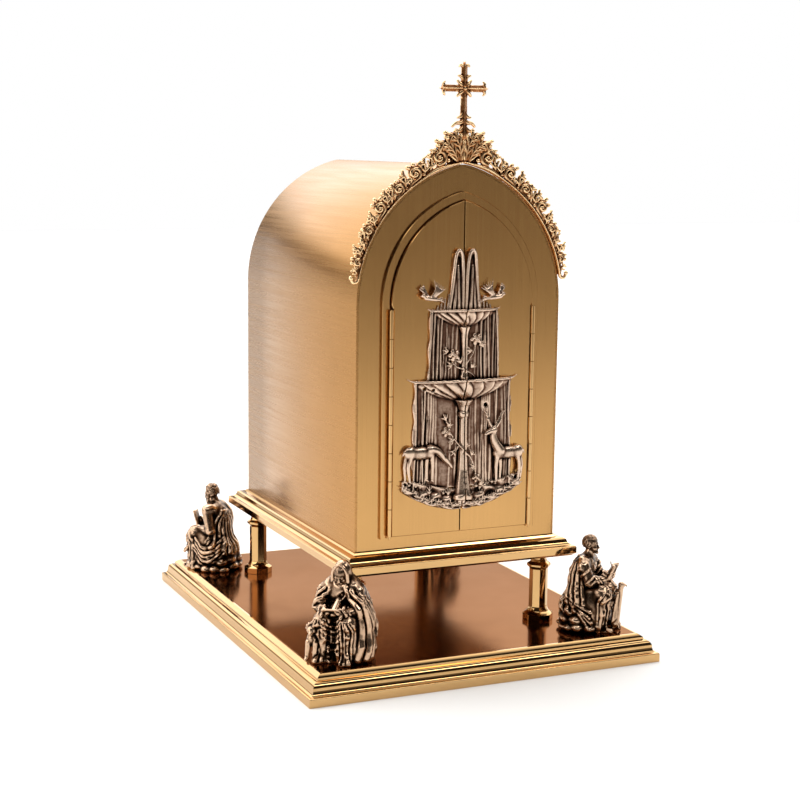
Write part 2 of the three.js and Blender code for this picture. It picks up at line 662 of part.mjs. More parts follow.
/** Hanging cloth: a fluted column between two heights, wider at its foot. */
function cloth(centre, low, high, footRadii, topRadii, folds, depth) {
  const tube = new THREE.CylinderGeometry(1, 1, 1, 2 * folds, 1);
  tube.rotateX(Math.PI / 2);
  const at = tube.attributes.position;
  for (let i = 0; i < at.count; i += 1) {
    const share = at.getZ(i) + 0.5;
    const around = Math.atan2(at.getY(i), at.getX(i));
    const fold = 1 + depth * Math.cos(folds * around);
    const reach = Math.hypot(at.getX(i), at.getY(i)) * fold;
    const radiusX = footRadii[0] + (topRadii[0] - footRadii[0]) * share;
    const radiusY = footRadii[1] + (topRadii[1] - footRadii[1]) * share;
    at.setXYZ(i,
      (centre[0] + reach * Math.cos(around) * radiusX) * tall,
      (centre[1] + reach * Math.sin(around) * radiusY) * tall,
      (low + (high - low) * share) * tall);
  }
  return tube;
}

/** Rough rock that the figure sits on. */
function rock(radius, height) {
  const stone = new THREE.CylinderGeometry(radius * 0.8 * tall, radius * tall, height * tall, 9, 1);
  stone.rotateX(Math.PI / 2);
  const at = stone.attributes.position;
  for (let i = 0; i < at.count; i += 1) {
    const around = Math.atan2(at.getY(i), at.getX(i));
    const rough = 1 + 0.08 * Math.sin(3 * around + 1) + 0.05 * Math.sin(5 * around);
    at.setX(i, at.getX(i) * rough);
    at.setY(i, at.getY(i) * rough + 0.05 * tall);
  }
  stone.translate(0, 0, height * tall / 2);
  return stone;
}

/** A book, one of its leaves or a scroll, turned about z and then tilted back. */
function leafOf(centre, width, height, thickness, tilt, turn = 0) {
  const slab = new THREE.BoxGeometry(width * tall, thickness * tall, height * tall);
  slab.rotateX(tilt);
  slab.rotateZ(turn);
  slab.translate(centre[0] * tall, centre[1] * tall, centre[2] * tall);
  return slab;
}

/** Seated body shared by the four figures, facing -y, with a mantle down its back. */
function seatedBody(lean, rockRadius) {
  return [
    rock(rockRadius, 0.36),
    cloth([0, -0.15], 0, 0.42, [0.225, 0.145], [0.19, 0.1], 6, 0.1),
    limb([-0.1, 0.04, 0.4], [-0.12, -0.25, 0.42], 0.11, 0.08),
    limb([0.1, 0.04, 0.4], [0.12, -0.25, 0.41], 0.11, 0.08),
    cloth([0, 0.1], 0, 0.76, [0.26, 0.2], [0.15, 0.1], 6, 0.07),
    limb([0, 0.05, 0.3], [0, 0.04, 0.72], 0.14, 0.12),
    mass([0, 0.04 - lean, 0.72], [0.2, 0.11, 0.095], 6, 4),
    limb([0, 0.03 - lean, 0.74], [0, -lean, 0.86], 0.075, 0.055),
  ];
}

/** Head with a nose and with its hair or hood, and a beard where it has one. */
function head(y, hood, beard) {
  const pieces = [
    mass([0, y, 0.9], [0.064, 0.078, 0.098], 6, 5),
    limb([0, y - 0.068, 0.91], [0, y - 0.088, 0.875], 0.006, 0.014, 4),
  ];
  if (hood) {
    pieces.push(mass([0, y + 0.034, 0.885], [0.095, 0.082, 0.112], 7, 5));
    pieces.push(limb([0, y + 0.09, 0.66], [0, y + 0.045, 0.88], 0.17, 0.09, 6));
  } else {
    pieces.push(mass([0, y + 0.022, 0.918], [0.076, 0.082, 0.082], 7, 4));
  }
  if (beard) pieces.push(mass([0, y - 0.052, 0.825], [0.042, 0.036, 0.052], 5, 3));
  return pieces;
}

/** Arm from shoulder to elbow to hand. */
function arm(shoulder, elbow, hand, thick = 1) {
  return [
    limb(shoulder, elbow, 0.068 * thick, 0.06 * thick),
    limb(elbow, hand, 0.058 * thick, 0.034 * thick),
    mass(hand, [0.04, 0.04, 0.034], 4, 3),
  ];
}

const hooded = [
  ...seatedBody(0.05, 0.31),
  ...head(-0.045, true, true),
  cloth([0.12, 0.03], 0, 0.68, [0.21, 0.19], [0.1, 0.1], 5, 0.1),
  mass([-0.155, 0.05, 0.56], [0.09, 0.11, 0.17]),
  ...arm([-0.16, -0.01, 0.69], [-0.215, -0.07, 0.52], [-0.08, -0.23, 0.49]),
  ...arm([0.16, -0.01, 0.69], [0.215, -0.08, 0.52], [0.09, -0.24, 0.52]),
  leafOf([0, -0.24, 0.52], 0.2, 0.13, 0.025, 1.1),
  mass([-0.215, -0.1, 0.2], [0.075, 0.13, 0.08]),
  limb([-0.225, -0.2, 0.22], [-0.23, -0.25, 0], 0.07, 0.045),
  mass([-0.215, -0.235, 0.32], [0.072, 0.06, 0.075], 7, 4),
  limb([-0.213, -0.25, 0.315], [-0.21, -0.31, 0.3], 0.035, 0.025),
];

const reading = [
  ...seatedBody(0.02, 0.3),
  ...head(-0.022, false, false),
  mass([-0.165, 0.09, 0.53], [0.07, 0.11, 0.2]),
  ...arm([-0.165, 0.01, 0.7], [-0.2, -0.07, 0.54], [-0.08, -0.22, 0.57]),
  ...arm([0.165, 0.01, 0.7], [0.2, -0.08, 0.535], [0.08, -0.225, 0.57]),
  leafOf([-0.048, -0.25, 0.63], 0.11, 0.165, 0.03, 0.45, 0.38),
  leafOf([0.048, -0.25, 0.63], 0.11, 0.165, 0.03, 0.45, -0.38),
  limb([0.03, -0.27, 0.02], [0.045, -0.33, 0.48], 0.06, 0.032, 6),
  mass([0.047, -0.345, 0.47], [0.032, 0.042, 0.036]),
  limb([0.047, -0.37, 0.485], [0.047, -0.4, 0.47], 0.014, 0.005, 4),
  mass([-0.01, -0.28, 0.25], [0.03, 0.045, 0.17], 4, 3),
  mass([0.085, -0.28, 0.25], [0.03, 0.045, 0.17], 4, 3),
];

const barearmed = [
  ...seatedBody(0.03, 0.31),
  ...head(-0.035, false, true),
  mass([-0.155, 0.07, 0.57], [0.07, 0.1, 0.17]),
  ...arm([-0.165, 0, 0.7], [-0.205, -0.06, 0.525], [-0.07, -0.22, 0.525]),
  ...arm([0.16, -0.01, 0.7], [0.205, 0.05, 0.485], [0.11, -0.17, 0.465], 0.9),
  leafOf([-0.05, -0.25, 0.57], 0.14, 0.18, 0.03, -0.25, 0.15),
  limb([0.2, 0.1, 0.33], [0.2, -0.14, 0.33], 0.05, 0.05),
  limb([0.07, -0.27, 0], [0.07, -0.27, 0.3], 0.075, 0.05, 6),
  mass([0.078, -0.29, 0.32], [0.048, 0.05, 0.052]),
  limb([0.02, -0.25, 0.2], [-0.04, -0.26, 0.4], 0.035, 0.012, 4),
  limb([0.13, -0.25, 0.2], [0.19, -0.26, 0.4], 0.035, 0.012, 4),
];

const resting = [
  ...seatedBody(0.03, 0.31),
  ...head(-0.035, false, true),
  mass([0.155, 0.07, 0.55], [0.08, 0.1, 0.19]),
  ...arm([-0.165, 0.01, 0.7], [-0.215, -0.06, 0.52], [-0.08, -0.22, 0.5]),
  ...arm([0.165, 0.01, 0.7], [0.215, -0.06, 0.52], [0.08, -0.22, 0.5]),
  leafOf([0, -0.23, 0.52], 0.18, 0.14, 0.045, 1),
  mass([-0.13, -0.23, 0.12], [0.095, 0.08, 0.09]),
  limb([-0.13, -0.2, 0.08], [-0.13, -0.3, 0.24], 0.08, 0.045),
  limb([-0.13, -0.32, 0.23], [-0.125, -0.36, 0.2], 0.034, 0.022),
];

/** Join a figure's masses, keep what is above its foot and stand it on the base. */
function standFigure(name, pieces, x, y, turn) {
  const above = block(-tall, tall, -tall, tall, 0, 2 * tall);
  const geometry = geometryOf(joined(pieces).intersect(solidOf(above)));
  geometry.rotateZ(turn);
  geometry.translate(x, y, BASE_HEIGHT);
  const plinthRoom = solidOf(block(-plinthHalfX - GAP, plinthHalfX + GAP,
    -plinthHalfY - GAP, plinthHalfY + GAP, PLINTH_BOTTOM - GAP, plinthTop + GAP));
  place(name, geometryOf(solidOf(geometry).subtract(plinthRoom)), silvered);
}

const stripX = baseHalfX - plinthHalfX;
const stripY = baseHalfY - plinthHalfY;
const frontX = plinthHalfX + FRONT_SHARE_X * stripX;
const frontDiagonalY = -plinthHalfY - FRONT_SHARE_Y * stripY;
const backX = plinthHalfX + BACK_SHARE_X * stripX;
const backDiagonalY = plinthHalfY + BACK_SHARE_Y * stripY;

standFigure('figure_front_left', hooded, -frontX, frontDiagonalY, -Math.PI / 4);
standFigure('figure_front_right', reading, frontX, frontDiagonalY, Math.PI / 4);
standFigure('figure_back_left', barearmed, -backX, backDiagonalY, -3 * Math.PI / 4);
standFigure('figure_back_right', resting, backX, backDiagonalY, 3 * Math.PI / 4);

export default group;
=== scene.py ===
import math
import bpy
import numpy as np
from mathutils import Matrix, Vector
from mathutils.geometry import tessellate_polygon


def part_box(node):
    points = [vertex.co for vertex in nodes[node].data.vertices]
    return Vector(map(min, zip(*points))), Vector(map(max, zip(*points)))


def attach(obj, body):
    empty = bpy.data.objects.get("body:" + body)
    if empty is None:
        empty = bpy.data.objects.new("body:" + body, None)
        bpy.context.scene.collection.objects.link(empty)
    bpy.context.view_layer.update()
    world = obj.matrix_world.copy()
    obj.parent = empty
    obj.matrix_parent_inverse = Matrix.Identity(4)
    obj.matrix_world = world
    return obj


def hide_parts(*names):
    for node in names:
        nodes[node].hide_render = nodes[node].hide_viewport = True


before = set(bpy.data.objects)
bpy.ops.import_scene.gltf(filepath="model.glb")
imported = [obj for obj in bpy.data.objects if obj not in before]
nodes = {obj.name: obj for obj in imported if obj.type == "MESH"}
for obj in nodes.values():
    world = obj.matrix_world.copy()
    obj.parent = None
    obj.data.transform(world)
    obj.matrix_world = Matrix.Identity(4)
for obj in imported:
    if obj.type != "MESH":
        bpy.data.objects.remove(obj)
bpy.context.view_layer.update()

# Studio: a plain pale floor under a bright surround, with soft lights above, in
# front and at the left. Darker zones of the surround, low at the back and half
# way up in front, give the polished metal its dark bands.
camera_data = bpy.data.cameras.new("studio_camera")
camera_data.lens = 74.66
camera_data.sensor_width = 36
camera_data.clip_end = 100
camera = bpy.data.objects.new("studio_camera", camera_data)
bpy.context.scene.collection.objects.link(camera)
bpy.context.scene.camera = camera
bpy.context.scene.view_settings.view_transform = "Standard"

turn, tilt, roll = math.radians(-24.059), math.radians(8.862), math.radians(0.677)
back = np.array([math.sin(turn) * math.cos(tilt), -math.cos(turn) * math.cos(tilt), math.sin(tilt)])
level = np.array([math.cos(turn), math.sin(turn), 0.0])
upward = np.cross(back, level)
right = level * math.cos(roll) + upward * math.sin(roll)
top = upward * math.cos(roll) - level * math.sin(roll)


def placing(side, over, away, place):
    """Matrix whose columns are a thing's own x, y and z ways and its place."""
    rows = [[float(axis[row]) for axis in (side, over, away, place)] for row in range(3)]
    return Matrix(rows + [[0, 0, 0, 1]])


camera.matrix_world = placing(right, top, back, (-0.8485, -1.9215, 0.6152))


def linear(hex_colour):
    """Linear RGBA of an sRGB hex colour."""
    parts = [int(hex_colour[i:i + 2], 16) / 255 for i in (0, 2, 4)]
    return tuple(p / 12.92 if p <= 0.04045 else ((p + 0.055) / 1.055) ** 2.4 for p in parts) + (1.0,)


def add_node(tree, kind, settings=None, **inputs):
    """Add a node, set its properties, and set or link its inputs by name."""
    node = tree.nodes.new(kind)
    for key, value in (settings or {}).items():
        setattr(node, key, value)
    for key, value in inputs.items():
        name = key.replace("_", " ")
        socket = node.inputs[int(key[1:])] if key[0] == "i" and key[1:].isdigit() else node.inputs[name]
        if isinstance(value, bpy.types.NodeSocket):
            tree.links.new(value, socket)
        else:
            socket.default_value = value
    return node


def set_stops(ramp_node, stops):
    """Set a colour ramp's stops from (place, colour) pairs."""
    ramp = ramp_node.color_ramp
    while len(ramp.elements) > 1:
        ramp.elements.remove(ramp.elements[0])
    ramp.elements[0].position, ramp.elements[0].color = stops[0]
    for place, colour in stops[1:]:
        ramp.elements.new(place).color = colour
    return ramp_node


surround = bpy.data.worlds.new("studio_surround")
surround.use_nodes = True
sky = surround.node_tree
sky.nodes.clear()
direction = add_node(sky, "ShaderNodeTexCoord")
height = add_node(sky, "ShaderNodeSeparateXYZ", Vector=direction.outputs["Generated"])
behind = set_stops(add_node(sky, "ShaderNodeValToRGB", Fac=height.outputs["Z"]),
                   [(0.0, (1, 1, 1, 1)), (0.082, (1, 1, 1, 1)), (0.105, (0.28, 0.19, 0.11, 1)),
                    (0.14, (0.22, 0.14, 0.07, 1)), (0.17, (0.5, 0.42, 0.28, 1)),
                    (0.21, (0.85, 0.78, 0.62, 1)), (0.25, (1, 1, 1, 1)), (1.0, (0.85, 0.85, 0.85, 1))])
before = set_stops(add_node(sky, "ShaderNodeValToRGB", Fac=height.outputs["Z"]), [
    (0.0, (0.3, 0.28, 0.26, 1)), (0.1, (0.16, 0.14, 0.12, 1)), (0.17, (0.015, 0.012, 0.01, 1)),
    (0.66, (0.01, 0.008, 0.006, 1)), (0.70, (1, 1, 1, 1)), (0.79, (1, 1, 1, 1)),
    (0.82, (0.015, 0.012, 0.01, 1)), (0.975, (0.02, 0.018, 0.015, 1)), (0.992, (0.9, 0.9, 0.9, 1)),
    (1.0, (0.85, 0.85, 0.85, 1))])
facing = add_node(sky, "ShaderNodeMapRange", Value=height.outputs["Y"], From_Min=-0.12, From_Max=0.12)
bands = add_node(sky, "ShaderNodeMix", {"data_type": "RGBA"}, Factor=facing.outputs["Result"],
                 i6=before.outputs["Color"], i7=behind.outputs["Color"])
# Only the part that shows beside the object stays at plain white; higher up it is brighter.
gain = add_node(sky, "ShaderNodeMapRange", Value=height.outputs["Z"], From_Min=0.2, From_Max=0.27,
                To_Min=1.0, To_Max=2.3)
glow = add_node(sky, "ShaderNodeBackground", Color=bands.outputs[2], Strength=gain.outputs["Result"])
add_node(sky, "ShaderNodeOutputWorld", Surface=glow.outputs["Background"])
bpy.context.scene.world = surround


def soft_light(name, place, size, power, tint):
    """Oblong area light at a place, facing the middle of the work."""
    lamp = bpy.data.lights.new(name, "AREA")
    lamp.shape = "RECTANGLE"
    lamp.size, lamp.size_y = size
    lamp.energy = power
    lamp.color = tint
    holder = bpy.data.objects.new(name, lamp)
    away = np.array(place, float) - np.array((0, 0, 0.3))
    away /= np.linalg.norm(away)
    side = np.cross((0, 1, 0) if abs(away[2]) > 0.95 else (0, 0, 1), away)
    side /= np.linalg.norm(side)
    holder.matrix_world = placing(side, np.cross(away, side), away, place)
    bpy.context.scene.collection.objects.link(holder)


soft_light("light_above", (-0.3, 1.1, 2.3), (1.6, 1.2), 12, (1.0, 0.97, 0.93))
soft_light("light_front", (0.9, -1.9, 2.1), (1.3, 0.4), 9, (1.0, 0.97, 0.93))
soft_light("light_left", (-2.4, -0.4, 0.8), (1.0, 1.2), 9, (1.0, 0.96, 0.92))


def make_piece(name, points, faces, body, material, sharp=35.0):
    """
    Mesh object from points in millimetres and a list of face arrays. All faces
    are smooth, and edges steeper than the sharp angle stay crisp.
    """
    mesh = bpy.data.meshes.new(name)
    mesh.from_pydata((np.asarray(points, float) / 1000).tolist(), [], [list(map(int, f)) for f in faces])
    mesh.validate()
    mesh.polygons.foreach_set("use_smooth", np.ones(len(mesh.polygons), bool))
    if sharp:
        mesh.set_sharp_from_angle(angle=math.radians(sharp))
    piece = bpy.data.objects.new(name, mesh)
    bpy.context.scene.collection.objects.link(piece)
    mesh.materials.append(material)
    if body:
        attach(piece, body)
    return piece


# Matt paper: white under and behind the work, and darker towards the camera by painted
# shade, which is what the low front mouldings reflect.
pale = bpy.data.materials.new("matt_paper_floor_painted_shade")
pale.use_nodes = True
paper = pale.node_tree.nodes["Principled BSDF"]
paper_place = add_node(pale.node_tree, "ShaderNodeTexCoord")
paper_along = add_node(pale.node_tree, "ShaderNodeSeparateXYZ", Vector=paper_place.outputs["Object"])
# Painted shade: the paper is coloured darker from 1 m to 4.2 m in front of the work.
shade_towards_camera = add_node(pale.node_tree, "ShaderNodeMapRange", Value=paper_along.outputs["Y"],
                     From_Min=-4.2, From_Max=-1.0)
floor_painted_shade = set_stops(add_node(pale.node_tree, "ShaderNodeValToRGB", Fac=shade_towards_camera.outputs["Result"]), [
    (0.0, linear("8A8074")), (1.0, linear("FBFAF8"))])
pale.node_tree.links.new(floor_painted_shade.outputs["Color"], paper.inputs["Base Color"])
paper.inputs["Roughness"].default_value = 0.9
floor_half = 9000
floor = make_piece("studio_floor", [(x * floor_half, y * floor_half, 0)
                                    for x, y in ((-1, -1), (1, -1), (1, 1), (-1, 1))],
                   [(0, 1, 2, 3)], None, pale, 0)

# Base moulding: brass sheet run to a profile and mitred at four corners, then
# mirror polished and lacquered. It has a turned-in flange below, on which the
# whole work stands.


def loft(rings, wrap=False):
    """
    Faces of a surface through closed rings of equal count: ring i point j is
    joined to its neighbours. Open lofts are closed by the first and last ring.
    """
    count, around = rings.shape[:2]
    number = np.arange(count * around).reshape(count, around)
    after = np.roll(number, -1, axis=1)
    low, high = (number, np.roll(number, -1, axis=0)) if wrap else (number[:-1], number[1:])
    low_after, high_after = (after, np.roll(after, -1, axis=0)) if wrap else (after[:-1], after[1:])
    quads = np.stack([low, low_after, high_after, high], axis=-1).reshape(-1, 4)
    faces = quads.tolist()
    if not wrap:
        faces += [number[0][::-1].tolist(), number[-1].tolist()]
    return rings.reshape(-1, 3), faces


def face_outward(points, faces):
    """Turn all faces over if the volume that they enclose comes out negative."""
    points = np.asarray(points, float)
    volume = 0.0
    for face in faces:
        corners = points[list(face)]
        fan = np.cross(corners[1:-1] - corners[0], corners[2:] - corners[0])
        volume += float((fan * corners[0]).sum())
    return [list(f)[::-1] for f in faces] if volume < 0 else faces


def rounded(corners, steps=8):
    """
    Smooth profile through corners marked (u, z, bulge): between two corners the
    line bows out by bulge times its length, as a parabola.
    """
    line = []
    for (u0, z0, bulge), (u1, z1, _) in zip(corners, corners[1:] + corners[:1]):
        shares = np.linspace(0, 1, steps + 1)[:-1] if bulge else np.zeros(1)
        across = np.array([z0 - z1, u1 - u0])
        for t in shares:
            straight = np.array([u0, z0]) * (1 - t) + np.array([u1, z1]) * t
            line.append(straight + across * bulge * 4 * t * (1 - t))
    return np.array(line)


def mitred_frame(profile, half_x, half_y):
    """Profile (u outward, z) carried round a rectangle, mitred at its corners."""
    rings = []
    for sx, sy in ((1, -1), (1, 1), (-1, 1), (-1, -1)):
        x, y = sx * (half_x + profile[:, 0]), sy * (half_y + profile[:, 0])
        rings.append(np.stack([x, y, profile[:, 1]], axis=1))
    points, faces = loft(np.array(rings), wrap=True)
    return points, face_outward(points, faces)


def brass(name, colour, roughness, grain, grain_mm, uneven=0.04):
    """
    Polished or satin brass: brushing marks of grain_mm along x, y and z vary the
    roughness and lift a faint bump, and a slow cloud of tarnish varies the colour.
    """
    material = bpy.data.materials.new(name)
    material.use_nodes = True
    tree = material.node_tree
    metal = tree.nodes["Principled BSDF"]
    place = add_node(tree, "ShaderNodeTexCoord")
    # clouds about 110 mm across
    cloud = add_node(tree, "ShaderNodeTexNoise", Vector=place.outputs["Object"],
                     Scale=9.0, Detail=3.0)
    tones = set_stops(add_node(tree, "ShaderNodeValToRGB", Fac=cloud.outputs["Fac"]), [
        (0.3, tuple(c * (1 - uneven * 2) for c in linear(colour)[:3]) + (1,)), (0.7, linear(colour))])
    tree.links.new(tones.outputs["Color"], metal.inputs["Base Color"])
    stretch = add_node(tree, "ShaderNodeMapping", Vector=place.outputs["Object"],
                       Scale=tuple(1000 / mm for mm in grain_mm))
    marks = add_node(tree, "ShaderNodeTexNoise", Vector=stretch.outputs["Vector"], Scale=1.0, Detail=2.0)
    gloss = add_node(tree, "ShaderNodeMapRange", Value=marks.outputs["Fac"], From_Min=0.25, From_Max=0.75,
                     To_Min=roughness * 0.8, To_Max=roughness * 1.25)
    tree.links.new(gloss.outputs["Result"], metal.inputs["Roughness"])
    metal.inputs["Metallic"].default_value = 1.0
    if grain:
        lift = add_node(tree, "ShaderNodeBump", Height=marks.outputs["Fac"], Strength=grain,
                        Distance=0.00004)
        tree.links.new(lift.outputs["Normal"], metal.inputs["Normal"])
    return material


# Polished and lacquered brass: a clear mirror that shows the room in sharp strips.
polished_brass = brass("polished_lacquered_brass", "CDA570", 0.06, 0.0, (30, 30, 30))
base_profile = rounded([(0, 32, 0.03), (5.2, 28.2, 0), (5.4, 26.0, 0), (6.4, 25.6, 0.22),
                        (13.2, 16.6, 0), (13.6, 15.4, -0.2), (18.2, 10.8, 0), (19.2, 10.6, 0.1),
                        (20, 9.6, 0), (20, 0, 0), (8, 0, 0), (8, 2, 0), (18, 2, 0), (18, 6.6, 0),
                        (13.6, 9.6, 0), (12.2, 12, 0), (7.0, 17, 0), (6.2, 19.6, 0), (3.6, 22, 0),
                        (0.8, 23.4, 0), (-2, 29, 0), (-2, 32, 0)])
points, faces = mitred_frame(base_profile, half_x=205, half_y=272)
base_moulding = make_piece("base_moulding_polished", points, faces, "house", polished_brass, 28)
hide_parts("base_moulding")

# Base top: one flat plate let into the moulding, polished and tinted a deep
# bronze brown, so that it mirrors what stands on it.
tinted_brass = brass("polished_brown_tinted_brass", "7A5538", 0.14, 0.0, (60, 60, 60), 0.08)
tinted_brass.node_tree.nodes["Principled BSDF"].inputs["Specular Tint"].default_value = linear("EBD2C3")


def finish_plate(name, material):
    """Give a flat plate, whose shape is complete as it is, its finish."""
    nodes[name].data.materials.clear()
    nodes[name].data.materials.append(material)


finish_plate("base_top", tinted_brass)

# Plinth moulding: as the base's, smaller, with a deep dark cove between a
# bright edge and a rounded member.
plinth_profile = rounded([(-14, 117, 0), (-9, 118, -0.1), (-2.4, 121, 0), (0, 122.4, 0),
                          (0, 130.2, 0.1), (-0.8, 131.0, 0), (-1.4, 131.4, 0.2), (-9.2, 138.0, 0),
                          (-9.6, 138.8, -0.08), (-18.2, 141, 0), (-19.6, 143, 0), (-26, 143, 0),
                          (-26, 141, 0), (-19.4, 138.6, 0), (-14.4, 136.4, 0), (-9.6, 134, 0),
                          (-6, 131.4, 0), (-2.2, 128.4, 0), (-2.2, 123.4, 0), (-6.4, 121.2, 0),
                          (-11, 119, 0), (-17.8, 119, 0), (-17.8, 117, 0)])
points, faces = mitred_frame(plinth_profile, half_x=152, half_y=213)
plinth_moulding = make_piece("plinth_moulding_polished", points, faces, "house", polished_brass, 28)
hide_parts("plinth_moulding")

# Plinth underside, cabinet floor and back panel: flat brass plates, satin gilt and
# soldered in along their edges. They are plain, so only their finish is set. Its
# grit marks are drawn 4 mm wide, far coarser than real ones, so that they just show.
satin_brass = brass("satin_gilt_brass", "B48652", 0.26, 0.01, (160, 160, 4))
for plain in ("plinth_underside", "house_floor", "back_panel"):
    finish_plate(plain, satin_brass)

# Columns: octagonal brass bars with a broad collar soldered on at the foot and
# a small pointed collar under a narrower neck. Every edge is just broken.
base_top_at = 32
shape = np.array([(18.6, 0), (19, 0.4), (19, 7.6), (17.6, 9), (14, 11), (12.4, 13.6), (11.6, 17),
                  (11.6, 64), (12.2, 65.4), (14.6, 67.6), (15, 68.2), (15, 70.2), (14.6, 70.8),
                  (10.6, 73.4), (9.3, 76.6), (9.3, 87)])
# Eight flats, each with two points near its ends, so that edges are narrow chamfers.
corner = np.radians(22.5 + 45 * np.arange(8))
around = np.stack([corner - 0.035, corner + 0.035], axis=1).ravel()
for end in ("front", "back"):
    for side in ("left", "right"):
        name = "column_" + end + "_" + side
        low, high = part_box(name)
        centre = ((low + high) / 2 * 1000).to_tuple()
        rings = np.stack([
            centre[0] + shape[:, :1] * np.cos(around) * 0.985,
            centre[1] + shape[:, :1] * np.sin(around) * 0.985,
            np.repeat(base_top_at + shape[:, 1:], 16, axis=1)], axis=-1)
        points, faces = loft(rings)
        column = make_piece(name + "_turned", points, face_outward(points, faces), "house",
                            polished_brass, 20)
        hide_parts(name)

# House: one brass sheet bent over from side to side as a pointed roof with a
# softened ridge, satin gilt, with flat panels let in at the ends.
spring = 430
past_middle = 33
house_half = 131
house_end = 190
house_foot = 143
sheet = 2.8


def arch_line(half_width, foot, steps, soften=0.0):
    """
    Pointed arch on straight jambs as x and z: from the right foot up one arc,
    over the apex and down the other. The arcs have their centres past the
    middle on the spring line; soften rounds the apex.
    """
    radius = past_middle + half_width
    angle = np.linspace(0, math.acos(past_middle / radius), steps)
    x = radius * np.cos(angle) - past_middle
    z = spring + radius * np.sin(angle)
    if soften:
        z -= soften * np.exp(-x / (soften * 2.2))
    x = np.concatenate([[half_width], x])
    z = np.concatenate([[foot], z])
    x[-1] = 0
    return np.concatenate([x, -x[-2::-1]]), np.concatenate([z, z[-2::-1]])


outer_x, outer_z = arch_line(house_half, house_foot, 64, 1.0)
inner_x, inner_z = arch_line(house_half - sheet, house_foot, 64)
rings = np.stack([
    np.stack([x, np.full_like(x, y), z], axis=1) for x, y, z in (
        (outer_x * 0.9985, -house_end, outer_z), (outer_x, 0.4 - house_end, outer_z),
        (outer_x, house_end - 0.4, outer_z), (outer_x * 0.9985, house_end, outer_z),
        (inner_x, house_end, inner_z), (inner_x, -house_end, inner_z))], axis=1)
points, faces = loft(rings)
house_shell = make_piece("house_shell_bent_sheet", points, face_outward(points, faces), "house",
                         satin_brass, 30)
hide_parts("house_shell")

# Front panel, door frame and doors: satin brass sheet brushed up and down. The frame
# is a raised band and the leaves are shallow trays above it, so both show as narrow
# steps. The brush marks are drawn 1.2 mm wide, coarser than real, so that they show.
brushed_brass = brass("brushed_gilt_brass", "C59961", 0.2, 0.16, (1.2, 60, 200))
finish_plate("front_panel", brushed_brass)

frame_outer = 100.5
frame_foot = 157
band_rings = []
for inset, y in ((0.0, -190.4), (0.0, -194.0), (0.6, -194.6), (8.6, -194.6), (9.2, -194.0), (9.2, -190.4)):
    x, z = arch_line(frame_outer - inset, frame_foot, 56)
    band_rings.append(np.stack([x, np.full_like(x, y), z], axis=1))
points, faces = loft(np.stack(band_rings, axis=1))
door_frame = make_piece("door_frame_raised", points, face_outward(points, faces), "house",
                        brushed_brass, 25)
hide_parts("door_frame")

door_foot = 160
door_half = 90.5
seam = 0.6
hinge_side = 88.1
hinge_top = 425.4
keyhole_x, keyhole_z, keyhole_radius = 30.2, 310, 2.5


def leaf_ring(inset, y, side):
    """Outline of one leaf at a depth, set in by inset all round, notched for the hinge."""
    radius = past_middle + door_half - inset
    angle = np.linspace(math.asin(0.5 / radius), math.acos((past_middle + seam + inset) / radius), 56)
    x = np.concatenate([[seam + inset, hinge_side - inset, hinge_side - inset],
                        radius * np.cos(angle) - past_middle, [seam + inset]])
    z = np.concatenate([[door_foot + inset, door_foot + inset, hinge_top + inset],
                        spring + radius * np.sin(angle), [300]])
    return np.stack([side * x, np.full_like(x, y), z], axis=1)


# Each leaf is a tray open at the back: broken front edge, rim, and a 2 mm wall.
for side, word in ((-1, "left"), (1, "right")):
    rings = np.array([leaf_ring(inset, y, side) for inset, y in (
        (0.6, -199.0), (0.0, -198.4), (0.0, -190.6), (2.0, -190.6), (2.0, -197.0))])
    points, faces = loft(rings)
    if word == "right":
        # The two flat faces are filled round the keyhole, and a short tube lines it.
        angle = np.linspace(0, 2 * math.pi, 24, endpoint=False)
        mouths = np.array([np.stack([keyhole_x + keyhole_radius * np.cos(angle), np.full(24, y),
                                     keyhole_z + keyhole_radius * np.sin(angle)], axis=1)
                           for y in (-199.0, -197.0)])
        tube_points, tube_faces = loft(mouths)
        start = len(points)
        tube = [[i + start for i in face][::-1] for face in tube_faces[:-2]]
        caps = []
        outside = (rings[0], mouths[0], 0, start, True)
        inside = (rings[-1], mouths[1], 4 * len(rings[0]), start + 24, False)
        for ring, mouth, first, hole, flip in (outside, inside):
            numbers = list(range(first, first + len(ring))) + list(range(hole, hole + 24))
            for corners in tessellate_polygon([[tuple(p) for p in ring], [tuple(p) for p in mouth]]):
                a, b, c = (np.concatenate([ring, mouth])[k] for k in corners)
                turned = np.cross(b - a, c - a)[1] > 0
                caps.append([numbers[k] for k in (corners[::-1] if turned == flip else corners)])
        points = np.concatenate([points, tube_points])
        faces = faces[:-2] + tube + caps
    door = make_piece("door_" + word + "_leaf", points, face_outward(points, faces),
                      word + "_door", brushed_brass, 25)
    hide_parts("door_" + word)

# Hinges: long knuckle hinges with round knuckles and a brass pin, polished by
# wear on the knuckles.


def turned_rod(x, y, low, high, radius, bore=0.0, sides=24):
    """Round bar with broken edges along z, or a tube where bore is given."""
    around = np.linspace(0, 2 * math.pi, sides, endpoint=False)
    ends = ((radius - 0.25, low), (radius, low + 0.25), (radius, high - 0.25), (radius - 0.25, high))
    if bore:
        ends = ends + ((bore, high), (bore, low))
    rings = np.array([np.stack([x + r * np.cos(around), y + r * np.sin(around), np.full(sides, z)], axis=1)
                      for r, z in ends])
    return loft(rings, wrap=bool(bore))


def joined(parts):
    """Points and faces of several meshes as one, each turned outward first."""
    all_points, all_faces, start = [], [], 0
    for points, faces in parts:
        all_points.append(np.asarray(points, float))
        all_faces += [[i + start for i in f] for f in face_outward(points, faces)]
        start += len(points)
    return np.concatenate(all_points), all_faces


